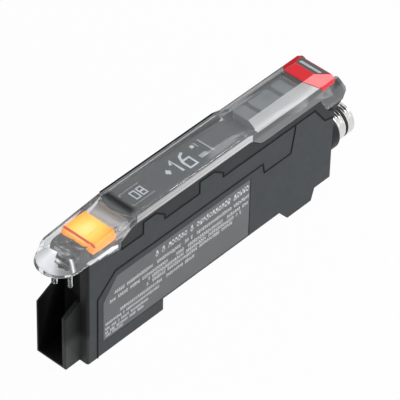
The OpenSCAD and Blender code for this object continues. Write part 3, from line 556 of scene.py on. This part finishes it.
# Painted sheen on the strip between lens and display, and painted reflection on the deck in front
# of the lens.
colour_regions(
    frame_plastic,
    ((-inner, strip_start, below_deck), (inner, strip_end, FAR), 0.3, (0.46, 0.465, 0.47)),
    ((-inner, -FAR, below_deck), (inner, lens_low[1] + 0.2, FAR), 0.3, (0.07, 0.07, 0.072)))
tree = frame_plastic.node_tree
target = tree.nodes["Principled BSDF"].inputs["Base Color"]
source = target.links[0].from_socket
stretched = out(tree, "ShaderNodeMapping", Vector=object_place(tree), Scale=(1.0, 2.2, 1.0))
painted_glint_noise = add(tree, "ShaderNodeTexNoise", Vector=stretched, Scale=420.0, Detail=2.0,
            Distortion=1.2).outputs["Fac"]
under_nose = region_mask(tree, (-inner, -FAR, below_deck), (3.5, lens_high[1] + 1.3, FAR), 0.6)
# Painted glints: dark and pale flecks under the nose.
for low, high, colour in ((0.42, 0.36, (0.008, 0.008, 0.009)), (0.58, 0.64, (0.34, 0.345, 0.35))):
    spots = out(tree, "ShaderNodeMapRange", Value=painted_glint_noise, From_Min=low, From_Max=high)
    within = calc(tree, "MULTIPLY", spots, under_nose)
    source = tint(tree, within, source, colour, target)
print("frame material has", len(tree.nodes), "nodes")


# %% [markdown]
# ## Soft edges
# Moulded edges are never knife sharp: a radius of about 0.1 mm catches the light in the thin
# bright lines that make a part look real. Each main solid is copied, its doubles are merged, flat
# triangles become whole faces, and the sharp long edges get a bevel. Edges beside tiny faces are
# left out, because a bevel there would fold over itself.

# %% Helpers for meshes
def merged(node):
    """A bmesh of a solid whose doubles are merged and whose flat triangles are joined."""
    cut = bmesh.new()
    cut.from_mesh(nodes[node].data)
    bmesh.ops.remove_doubles(cut, verts=cut.verts, dist=0.002 * MM)
    bmesh.ops.dissolve_limit(cut, angle_limit=math.radians(0.8), verts=cut.verts,
                             edges=cut.edges)
    return cut


def surface(node):
    """A search tree of a solid's surface, for rays and nearest points."""
    mesh = nodes[node].data
    return BVHTree.FromPolygons([v.co for v in mesh.vertices], [f.vertices for f in mesh.polygons])


def smooth(mesh, angle):
    """Smooth faces that meet sharply where they bend by more than the angle in degrees."""
    mesh.polygons.foreach_set("use_smooth", [True] * len(mesh.polygons))
    mesh.set_sharp_from_angle(angle=math.radians(angle))


body_of = {node: body for body, members in frame["record"]["behaviour"]["bodies"].items()
           for node in members}


def placed(name, mesh, like):
    """A piece from a mesh, which rides as the solid it lies on does."""
    piece = linked(name, mesh)
    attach(piece, body_of[like])
    return piece


def shaped(name, shape, material, like, sharp=None):
    """A piece from a bmesh, which is freed. Its edges are sharp from an angle in degrees."""
    mesh = bpy.data.meshes.new(name)
    shape.to_mesh(mesh)
    shape.free()
    mesh.materials.append(material)
    if sharp:
        smooth(mesh, sharp)
    return placed(name, mesh, like)


print("mesh helpers ready")


# %% [markdown]
# The bevel is as wide as the weight of an edge allows, so only the chosen edges get a weight. The
# cover is cut where its raised part starts, so that each wall can have a finish of its own.

# %% Copy a solid with softened edges
def sharp_enough(edge, angle, room):
    """True for a manifold edge that bends by more than angle and has room for a bevel."""
    if not edge.is_manifold or edge.calc_face_angle() < angle:
        return False
    around = {e for v in edge.verts for e in v.link_edges}
    return min(e.calc_length() for e in around) > room


def softened(node, width, material, angle=30, divide=None):
    """A copy of a CAD solid with bevelled edges, width in millimetres. It stands for the solid.

    divide may cut the copy, give some faces a second or later material, and return those.
    """
    cut = merged(node)
    more = divide(cut) if divide else ()
    weight = cut.edges.layers.float.new("bevel_weight_edge")
    chosen = [edge for edge in cut.edges
              if sharp_enough(edge, math.radians(angle), 1.15 * width * MM)]
    for edge in chosen:
        edge[weight] = 1.0
    print(node, "has", len(chosen), "soft edges")
    piece = shaped(f"{node}_soft", cut, material, node, sharp=angle)
    for finish in more:
        piece.data.materials.append(finish)
    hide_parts(node)
    bevel = piece.modifiers.new("soft_edges", "BEVEL")
    bevel.limit_method, bevel.width, bevel.segments = "WEIGHT", width * MM, 3
    bevel.use_clamp_overlap, bevel.harden_normals = False, True


def frost_sides_sheen_bevels(cut):
    """Gives the cover's outer side walls their own finishes, and the hump's bevels a pale one that
    paints the key lamp's highlight.
    """
    hump_start = 10.55 * MM
    bmesh.ops.bisect_plane(cut, geom=cut.verts[:] + cut.edges[:] + cut.faces[:], dist=1e-6,
                           plane_co=(0, hump_start, 0), plane_no=(0, 1, 0))
    counts = [0, 0, 0]
    for face in cut.faces:
        middle, sideways = face.calc_center_median(), abs(face.normal.x)
        on_hump = middle.y > hump_start
        if sideways > 0.9 and abs(middle.x) > (side - 0.1) * MM:
            part = 2 if on_hump else 1
        elif (on_hump and 0.45 < sideways < 0.75 and face.normal.z > 0.6
                and abs(middle.x) > 0.6 * side * MM and face.calc_area() > 4 * MM * MM):
            part = 3
        else:
            continue
        face.material_index = part
        counts[part - 1] += 1
    print("frosted", counts[0], "front walls,", counts[1], "hump walls,", counts[2], "bevels")
    return cover_frost, cover_side, bevel_painted_sheen


for node, width, material in (
        ("case", 0.12, housing_plastic), ("side_cover", 0.12, housing_plastic),
        ("top_frame", 0.10, frame_plastic), ("indicator_lens", 0.12, amber_glow),
        ("cover_tag", 0.05, red_plastic), ("light_guide", 0.08, guide_clear),
        ("set_button", 0.18, key_plastic), ("mode_button", 0.18, key_plastic),
        ("adjust_rocker", 0.15, key_plastic), ("m8_collar", 0.15, black_plastic),
        ("rail_claw", 0.12, black_plastic), ("display_window", 0.10, smoked)):
    softened(node, width, material)
softened("dust_cover", 0.14, cover_clear, divide=frost_sides_sheen_bevels)
softened("nose_lens", 0.06, nose_clear, angle=50)


# %% [markdown]
# ## Trees that grow print and lines
# Seams, digits and brackets are thin lines along a path, and print is many small strokes along a
# row. Both are jobs for Geometry Nodes: loose edges give the paths, and a tree grows the strokes.
# These helpers start a tree, and turn its result into a plain mesh.

# %% Helpers for trees
def new_tree(name, **inputs):
    """An empty Geometry Nodes tree that takes paths and the named inputs."""
    tree = bpy.data.node_groups.new(name, "GeometryNodeTree")
    for socket, kind in {"Paths": "Geometry", **inputs}.items():
        new_socket(tree, socket, "INPUT", kind)
    new_socket(tree, "Strokes", "OUTPUT", "Geometry")
    return tree, add(tree, "NodeGroupInput").outputs, add(tree, "NodeGroupOutput")


def close_tree(tree, source, finish, result):
    """Realizes the instances, sets the finish and joins the output."""
    real = out(tree, "GeometryNodeRealizeInstances", Geometry=source)
    feed(tree, result, Strokes=out(tree, "GeometryNodeSetMaterial", Geometry=real,
                                   Material=finish))


def grown(tree, name, points, edges, heights=None, **inputs):
    """The plain mesh that a tree grows from edges between points given in millimetres."""
    base = bpy.data.meshes.new(name)
    base.from_pydata([[v * MM for v in point] for point in points], edges, [])
    if heights:
        letter = base.attributes.new("letter", "FLOAT", "POINT")
        letter.data.foreach_set("value", [v * MM for v in heights])
    holder = linked(name, base)
    modifier = holder.modifiers.new("grow", "NODES")
    modifier.node_group = tree
    for socket in tree.interface.items_tree:
        if socket.in_out == "INPUT" and socket.name in inputs:
            modifier[socket.identifier] = inputs[socket.name]
    ready = holder.evaluated_get(bpy.context.evaluated_depsgraph_get())
    mesh = bpy.data.meshes.new_from_object(ready)
    bpy.data.objects.remove(holder)
    return mesh


lines, lines_in, lines_out = new_tree("swept_lines", Width="Float", Finish="Material")
path = out(lines, "GeometryNodeMeshToCurve", Mesh=lines_in["Paths"])
ring = out(lines, "GeometryNodeCurvePrimitiveCircle", Resolution=8,
           Radius=calc(lines, "MULTIPLY", lines_in["Width"], 0.5))
sweep = out(lines, "GeometryNodeCurveToMesh", Curve=path, Profile_Curve=ring, Fill_Caps=True)
close_tree(lines, sweep, lines_in["Finish"], lines_out)
print("line tree has", len(lines.nodes), "nodes")


# %% [markdown]
# ## Seams between the mouldings
# Where two mouldings meet, there is a thin black line, because both edges are rounded and light
# gets lost between them. The seams are found, not drawn: each sharp edge on the side of one
# moulding is walked in short steps, and a step is kept where a neighbour lies closer than 0.16 mm.
# The kept steps become thin black lines sunk into the joint.

# %% Find the seams and sweep them
def seam_steps(node, neighbours, step=0.3, reach=0.16, sink=0.05):
    """Points and edges, in millimetres, along the node's side edges that touch a neighbour."""
    others = [surface(other) for other in neighbours]
    outline, points, edges = merged(node), [], []
    for edge in outline.edges:
        a, b = (v.co / MM for v in edge.verts)
        if min(abs(a.x), abs(b.x)) < side - 0.03 or not edge.is_manifold \
                or edge.calc_face_angle() < math.radians(50):
            continue
        count = max(1, round((b - a).length / step))
        for i in range(count):
            ends = [a.lerp(b, (i + j) / count) for j in (0, 1)]
            middle = (ends[0] + ends[1]) / 2
            middle.x -= math.copysign(0.1, middle.x)
            near = (other.find_nearest(middle * MM, reach * MM)[0] for other in others)
            if any(found is not None for found in near):
                for end in ends:
                    points.append((math.copysign(side - sink, end.x), end.y, end.z))
                edges.append((len(points) - 2, len(points) - 1))
    outline.free()
    return points, edges


def welded(points, edges):
    """The same edges with shared points, so that steps join into long paths."""
    index, kept, joined, place = {}, [], set(), []
    for point in points:
        key = tuple(round(v, 3) for v in point)
        if key not in index:
            index[key] = len(kept)
            kept.append(point)
        place.append(index[key])
    for a, b in edges:
        if place[a] != place[b]:
            joined.add((min(place[a], place[b]), max(place[a], place[b])))
    return kept, sorted(joined)


points, edges = seam_steps("side_cover", ("case", "top_frame"))
more_points, more_edges = seam_steps("top_frame", ("case",))
edges += [(a + len(points), b + len(points)) for a, b in more_edges]
points, edges = welded(points + more_points, edges)
seams = grown(lines, "seams", points, edges, Width=0.44 * MM, Finish=seam_black)
placed("seams", seams, "case")
print("seams follow", len(edges), "steps,", len(seams.polygons), "faces")

# %% [markdown]
# ## Print on the label
# The label carries rows of fine print. Each row is made of plain strokes that read as a grey
# texture: upright strokes and short bars on the same points, with gaps between words. The tree
# walks each row at the letter's own pitch and scatters both kinds.

# %% Build the print tree
prints, prints_in, prints_out = new_tree("printed_rows", Finish="Material", Seed="Int")
letter = out(prints, "GeometryNodeInputNamedAttribute", data_type="FLOAT", Name="letter")
rows_path = out(prints, "GeometryNodeMeshToCurve", Mesh=prints_in["Paths"])
walk = out(prints, "GeometryNodeResampleCurve", mode="LENGTH", Curve=rows_path,
           Length=calc(prints, "MULTIPLY", letter, 0.62))
in_word = add(prints, "FunctionNodeRandomValue", data_type="BOOLEAN", Probability=0.86,
              Seed=prints_in["Seed"])
both = add(prints, "GeometryNodeJoinGeometry")


def random_part(low, high, seed):
    """A random length between two parts of the letter's height."""
    chance = add(prints, "FunctionNodeRandomValue", data_type="FLOAT", Seed=seed)
    chance.inputs[2].default_value, chance.inputs[3].default_value = low, high
    return calc(prints, "MULTIPLY", letter, chance.outputs[1])


def stroke_kind(width, tall_low, tall_high, shift, seed):
    """Adds one kind of stroke: its width and height range as parts of the letter's height."""
    block = out(prints, "GeometryNodeMeshCube", Size=(0.03 * MM, 1, 1))
    offset = out(prints, "ShaderNodeCombineXYZ", Z=random_part(-shift, shift, seed))
    size = out(prints, "ShaderNodeCombineXYZ", X=1.0, Y=calc(prints, "MULTIPLY", letter, width),
               Z=random_part(tall_low, tall_high, seed + 1))
    moved = out(prints, "GeometryNodeSetPosition", Geometry=walk, Offset=offset)
    scatter = out(prints, "GeometryNodeInstanceOnPoints", Points=moved,
                  Selection=in_word.outputs[3], Instance=block, Scale=size)
    join(prints, scatter, both.inputs[0])


stroke_kind(0.34, 0.78, 1.1, 0.0, 11)
stroke_kind(0.62, 0.28, 0.42, 0.38, 23)
close_tree(prints, both.outputs[0], prints_in["Finish"], prints_out)
print("print tree has", len(prints.nodes), "nodes")

# %% [markdown]
# The ten rows are measured from the label's lower front corner, so they move with the label.

# %% Print the label's rows
rows = (
    # up from the label's foot, start and end along it, letter height, all in millimetres
    (13.7, 15.7, 42.9, 1.5), (11.3, 2.9, 43.2, 0.95), (9.6, 2.1, 42.9, 0.95),
    (8.3, 12.8, 40.9, 0.9), (7.1, 12.9, 38.2, 0.9), (5.5, 5.1, 27.2, 0.9),
    (4.1, 0.8, 16.2, 0.75), (2.8, 0.7, 12.9, 0.75), (1.7, 0.7, 11.6, 0.75), (0.8, 0.8, 5.4, 0.6))
points, heights = [], []
for up_mm, start, end, tall in rows:
    for along in (start, end):
        points.append((label_high[0], label_low[1] + along, label_low[2] + up_mm))
        heights.append(tall)
edges = [(i, i + 1) for i in range(0, len(points), 2)]
label_print = grown(prints, "label_print", points, edges, heights, Finish=print_ink, Seed=7)
placed("label_print", label_print, "side_label")
print("label print has", len(label_print.polygons), "faces in", len(rows), "rows")

# %% [markdown]
# ## What the display shows
# The display is a smoked window with lit digits, two small ones in a bracket and two large ones
# after a plus sign. Each sign is a set of edges on a small grid, swept by the line tree and then
# pressed flat on the window. They are read along the unit, so the grid's width runs along Y.

# %% Draw the digits
square = ((0, 0), (1, 0), (1, 1), (0, 1), (0, 0))
glyphs = {
    "0": [square], "8": [square, ((0, 0.5), (1, 0.5))],
    "1": [((0.2, 0.72), (0.75, 1), (0.75, 0))],
    "6": [((0.95, 1), (0.35, 0.85), (0, 0.5), (0, 0), (1, 0), (1, 0.55), (0, 0.55))],
    "+": [((0, 0.5), (0.5, 0.5), (1, 0.5)), ((0.5, 0), (0.5, 0.5), (0.5, 1))]}
pressed = (Matrix.Translation((0, 0, window_high[2] * MM))
           @ Matrix.Diagonal((1, 1, 0.12, 1)))


def display_lines(name, strokes, width, finish):
    """Sweeps strokes of (x, along) points on the window's top and presses them flat."""
    points, edges = [], []
    for stroke in strokes:
        first = len(points)
        points += [(x, window_low[1] + along, 0) for x, along in stroke]
        edges += [(i, i + 1) for i in range(first, len(points) - 1)]
    points, edges = welded(points, edges)
    mesh = grown(lines, name, points, edges, Width=width * MM, Finish=finish)
    mesh.transform(pressed)
    placed(name, mesh, "display_window")
    print(name, "has", len(strokes), "strokes")


def digit(sign, x_foot, x_head, start, end):
    """Strokes of one sign, its foot and head across the window and its start and end along."""
    return [[(x_foot + (x_head - x_foot) * up_part, start + (end - start) * along_part)
             for along_part, up_part in stroke] for stroke in glyphs[sign]]


display_lines("small_digits", digit("0", 1.3, -0.95, 4.9, 6.1) + digit("8", 1.3, -0.95, 6.8, 8.0),
              0.42, digit_light)
display_lines("large_digits", digit("+", 1.15, -0.35, 14.4, 15.6)
              + digit("1", 2.3, -1.9, 16.6, 18.0) + digit("6", 2.7, -1.9, 19.2, 21.3), 0.62,
              digit_light)
display_lines("brackets", [[(-1.4, 3.0), (-2.0, 3.0), (-2.0, 8.7)],
                           [(1.6, 3.0), (2.2, 3.0), (2.2, 9.2)]], 0.2, key_ink)
display_lines("divider", [[(-2.4, 26.4), (2.9, 26.4)]], 0.4, key_ink)
display_lines("legend_marks", [[(3.0, 27.8), (2.2, 27.8), (2.2, 28.4)], [(3.0, 29.5), (2.3, 30.1)],
                               [(2.9, 31.5), (2.2, 31.5)], [(-0.6, 25.0), (-2.2, 25.0)]],
              0.3, key_ink)


# %% [markdown]
# ## Thin plates on the display
# A square dot and a unit mark stand behind the large digits. Beyond a divider the film is a
# lighter grey, and a black crescent in the step in front of the display is a painted shadow. They
# are thin plates with a bevelled rim, cut to their outline.

# %% Lay the plates
def plate(name, outline, height, thick, finish):
    """A thin plate of (x, along) points over the window, its underside at height."""
    shape = bmesh.new()
    face = shape.faces.new([shape.verts.new((x * MM, (window_low[1] + along) * MM, height * MM))
                            for x, along in outline])
    raised = bmesh.ops.extrude_face_region(shape, geom=[face])["geom"]
    bmesh.ops.translate(shape, vec=(0, 0, thick * MM),
                        verts=[v for v in raised if isinstance(v, bmesh.types.BMVert)])
    bmesh.ops.recalc_face_normals(shape, faces=shape.faces)
    rim = [e for e in shape.edges if all(v.co.z > (height + thick / 2) * MM for v in e.verts)]
    bmesh.ops.bevel(shape, geom=rim, offset=thick * 0.4 * MM, segments=1, affect="EDGES")
    shaped(name, shape, finish, "display_window")


def box_outline(x0, x1, along0, along1):
    return (x0, along0), (x1, along0), (x1, along1), (x0, along1)


glass = window_high[2]
above_strip = Vector((0, window_low[1] - 0.7, FAR)) * MM
strip_top = surface("top_frame").ray_cast(above_strip, Vector((0, 0, -1)))[0].z / MM
plate("square_dot", box_outline(-2.0, -1.1, 23.6, 24.4), glass, 0.05, digit_light)
plate("unit_mark", box_outline(1.3, 2.4, 22.9, 25.0), glass, 0.04, key_ink)
plate("key_panel", box_outline(-3.1, 3.5, 26.7, 33.4), glass, 0.04, panel_film)
# Painted shadow: a black sheet in the step in front of the display, where there is only shade.
crescent = ((-4.6, 0.9), (-2.4, 0.4), (0.9, 0.2), (2.6, 0.7), (4.1, 1.6), (3.2, 2.0), (0.15, 1.8),
            (-2.1, 1.6), (-4.4, 1.35))
plate("front_shadow_film", crescent, max(glass, strip_top) + 0.02, 0.08, seam_black)
print("plates laid, frame", round(strip_top - glass, 2), "mm over the window in front of it")

# %% [markdown]
# ## A pale mark on the tag's inlay
# The dark inlay carries a pale printed stripe, hatched across. It lies on the tag's slope, so the
# widest face that looks up gives the plane, and short bars are set on it in a row. The print tree
# isn't used, because these bars are all alike.

# %% Hatch the inlay
inlay = merged("tag_inlay")
top = max((f for f in inlay.faces if f.normal.z > 0.5), key=lambda f: f.calc_area())
normal, middle = top.normal.copy(), top.calc_center_median()
inlay.free()
down = Vector((1, 0, 0)).cross(normal)
if down.y < 0:
    down.negate()
bars, first_x, row_length = 18, -2.55, 5.3
bar_width, bar_length, bar_thick = 0.22, 1.0, 0.02
bar = Matrix((Vector((bar_width, 0, 0)), down * bar_length, normal * bar_thick)).transposed() * MM
shape = bmesh.new()
for i in range(bars):
    x = first_x + row_length * i / (bars - 1)
    centre = Vector((x * MM, middle.y, middle.z)) + (normal * 0.02 - down * 0.15) * MM
    bmesh.ops.create_cube(shape, size=1, matrix=Matrix.Translation(centre) @ bar.to_4x4())
bmesh.ops.recalc_face_normals(shape, faces=shape.faces)
shaped("inlay_hatch", shape, inlay_ink, "tag_inlay")
print("hatched the inlay with", bars, "bars")

# %% [markdown]
# ## The skin inside the nose, which carries its painted sheen
# The nose's inner face is a thin curved skin half a millimetre behind its front. Rays are cast
# inward at the nose's solid to find its surface, and the skin's points stay that much inside. A
# wedge towards the right corner stays open, and the frame shows through it. The skin carries the
# painted reflection and highlight.

# %% Cast the skin for the painted sheen
nose = surface("nose_lens")
nose_low, nose_high = span("nose_lens")
nose_centre = nose_low[1] + side
steps, levels = 40, 10
first_turn, whole_turn = -60, 146
cast_from, skin_depth = 14, 0.5
low_z, high_z = nose_low[2] + 0.7, nose_high[2] - 1.2
skin = bmesh.new()
skin_uv = skin.loops.layers.uv.new("round_nose")
grid = []
for i in range(steps + 1):
    turn = math.radians(first_turn + whole_turn * i / steps)
    outward = Vector((math.sin(turn), -math.cos(turn), 0))
    column = []
    for j in range(levels + 1):
        level_z = low_z + (high_z - low_z) * j / levels
        start = Vector((0, nose_centre, level_z)) * MM + outward * cast_from * MM
        hit = nose.ray_cast(start, -outward)[0]
        column.append(hit and skin.verts.new(hit - outward * skin_depth * MM))
    grid.append(column)
for i in range(steps):
    for j in range(levels):
        corners = ((i, j), (i + 1, j), (i + 1, j + 1), (i, j + 1))
        around_face = [grid[a][b] for a, b in corners]
        wedge = 0.5 < i / steps < 0.9 and j / levels > 1.12 - 0.8 * i / steps
        if None in around_face or wedge:
            continue
        face = skin.faces.new(around_face)
        for loop, (a, b) in zip(face.loops, corners):
            loop[skin_uv].uv = (a / steps, b / levels)
        face.smooth = True
nose_skin = shaped("nose_skin", skin, nose_painted_sheen, "nose_lens")
wall = nose_skin.modifiers.new("wall", "SOLIDIFY")
wall.thickness = 0.08 * MM
print("nose skin has", len(nose_skin.data.polygons), "faces")

# %% [markdown]
# ## The threaded sleeve
# The connector's sleeve carries a fine thread on both sides of the seal's groove. A thread is a
# surface whose radius rises and falls once per turn and per pitch, so one formula over a grid of
# turns and steps makes it, with true runs in and out at its ends.

# %% Cut the thread
sleeve_low, sleeve_high = span("m8_sleeve")
seal_low, seal_high = span("m8_seal")
collar_end = span("m8_collar")[1][1]
axis_z = (sleeve_low[2] + sleeve_high[2]) / 2
crest = sleeve_high[0]
bore = span("m8_insert")[1][0] + 0.05
end = sleeve_high[1]


def thread_radius(y, turn, pitch=0.75, depth=0.32, undercut=0.9, groove=0.4, run_out=0.6):
    """Radius of the thread at a place along the axis and a turn round it."""
    if y < collar_end + 0.1:
        return crest - undercut
    if seal_low[1] - 0.05 < y < seal_high[1] + 0.05:
        return crest - groove
    phase = (y / pitch - turn / math.tau) % 1.0
    wave = abs(2 * phase - 1)
    run = min(1.0, (y - collar_end) / run_out, (end - y) / run_out)
    room = min(abs(y - seal_low[1]), abs(y - seal_high[1]))
    return crest - depth * wave * min(1.0, run, room / 0.4 + 0.3) - max(0.0, 0.3 - (end - y))


shape = bmesh.new()
around, along_steps, rows = 96, 90, []
profile = [(sleeve_low[1] + (end - sleeve_low[1]) * i / along_steps, None)
           for i in range(along_steps + 1)]
profile += [(end, bore + 0.2), (end - 0.2, bore), (sleeve_low[1], bore)]
for y, fixed in profile:
    ring = []
    for k in range(around):
        turn = math.tau * k / around
        radius = fixed or thread_radius(y, turn)
        ring.append(shape.verts.new((radius * math.cos(turn) * MM, y * MM,
                                     (axis_z + radius * math.sin(turn)) * MM)))
    rows.append(ring)
for a, b in zip(rows, rows[1:] + rows[:1]):
    for k in range(around):
        m = (k + 1) % around
        shape.faces.new((a[k], a[m], b[m], b[k]))
bmesh.ops.recalc_face_normals(shape, faces=shape.faces)
sleeve = shaped("threaded_sleeve", shape, nickel, "m8_sleeve", sharp=40)
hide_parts("m8_sleeve")
print("sleeve has", len(sleeve.data.polygons), "faces, crest radius", round(crest, 2), "mm")

# %% [markdown]
# ## Materials for the solids that stay
# The other solids already have the right shape, so they keep their mesh and only get a finish.

# %% Dress the solids that stay
dressed = 0
for material, group in (
        (label_film, ["side_label"]), (lamp_plastic, ["indicator_led"]),
        (part_black, ["tag_inlay", "display_module", "processor_chip", "power_coil",
                      "board_header"]),
        (board_green, ["display_board", "main_board"]), (socket_plastic, ["socket_carrier"]),
        (steel, ["set_switch", "up_switch", "down_switch", "mode_switch"]),
        (gold, ["socket_contacts", "m8_pins"]), (soft_rubber, ["m8_gasket", "m8_seal"]),
        (black_plastic, ["m8_insert"])):
    for node in group:
        mesh = nodes[node].data
        mesh.materials.clear()
        mesh.materials.append(material)
        smooth(mesh, 30)
        dressed += 1
print("dressed", dressed, "solids")

# %% [markdown]
# ## The spring behind the rail claw
# A coil spring pushes the claw forward, and it gets shorter as the claw slides back. A rigid copy
# would run into the wall behind it. Here the piece is only a copy of the spring's solid, with a
# mesh of its own, and it rides as that solid does.

# %% Copy the spring
spring = shaped("spring_coil", merged("claw_spring"), steel, "claw_spring", sharp=30)
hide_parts("claw_spring")
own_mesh(spring)

# %% [markdown]
# ## Floor, background and lamps
# The photograph has a white background and even, soft light. The world lights the unit at a
# moderate level, while the camera, reflections and refractions see it as white. So does the
# floor, but a little of its diffuse finish stays, which keeps the unit's shadow. Two area lamps
# give the edges their highlights.


# %% Build the studio
def seen_rays(tree):
    """1 for rays that look at the background: camera, glossy and transmission rays."""
    path = add(tree, "ShaderNodeLightPath").outputs
    first = calc(tree, "MAXIMUM", path["Is Camera Ray"], path["Is Glossy Ray"])
    return calc(tree, "MAXIMUM", first, path["Is Transmission Ray"])


world = bpy.data.worlds.new("studio")
scene.world = world
world.use_nodes = True
tree = world.node_tree
tree.nodes.clear()
slant = add(tree, "ShaderNodeVectorMath", operation="DOT_PRODUCT",
            Vector=add(tree, "ShaderNodeTexCoord").outputs["Generated"])
slant.inputs[1].default_value = (0.175, 0.24, 0.065)
soft = calc(tree, "ADD", slant.outputs["Value"], 0.29)
level = out(tree, "ShaderNodeMapRange", Value=seen_rays(tree), To_Min=soft, To_Max=1.0)
sky = out(tree, "ShaderNodeBackground", Color=(1, 1, 1, 1), Strength=level)
add(tree, "ShaderNodeOutputWorld", Surface=sky)

floor_half = 3
corners = [(x * floor_half, y * floor_half, 0) for x, y in ((-1, -1), (1, -1), (1, 1), (-1, 1))]
floor_mesh = bpy.data.meshes.new("floor")
floor_mesh.from_pydata(corners, [], [(0, 1, 2, 3)])
linked("floor", floor_mesh)
floor_white, tree, shader = new_material("floor_white", (0.86, 0.86, 0.86), Roughness=0.9)
share = calc(tree, "MULTIPLY", seen_rays(tree), 0.97)
mixed(tree, share, shader, add(tree, "ShaderNodeEmission"))
floor_mesh.materials.append(floor_white)


def lamp(name, place, size, power):
    """A square area lamp that points at the unit."""
    data = bpy.data.lights.new(name, "AREA")
    data.size, data.energy = size, power
    made = linked(name, data)
    made.location = place
    made.rotation_mode = "QUATERNION"
    made.rotation_quaternion = (Vector(place) - Vector((0, 0, 0.015))).to_track_quat("Z", "Y")


lamp("key_lamp", (0.28, 0.36, 0.435), 0.16, 1.8)
lamp("side_lamp", (0.6, -0.1, 0.25), 0.3, 0.25)
print("studio ready")

# %% Set the view transform
scene.view_settings.view_transform = "Standard"
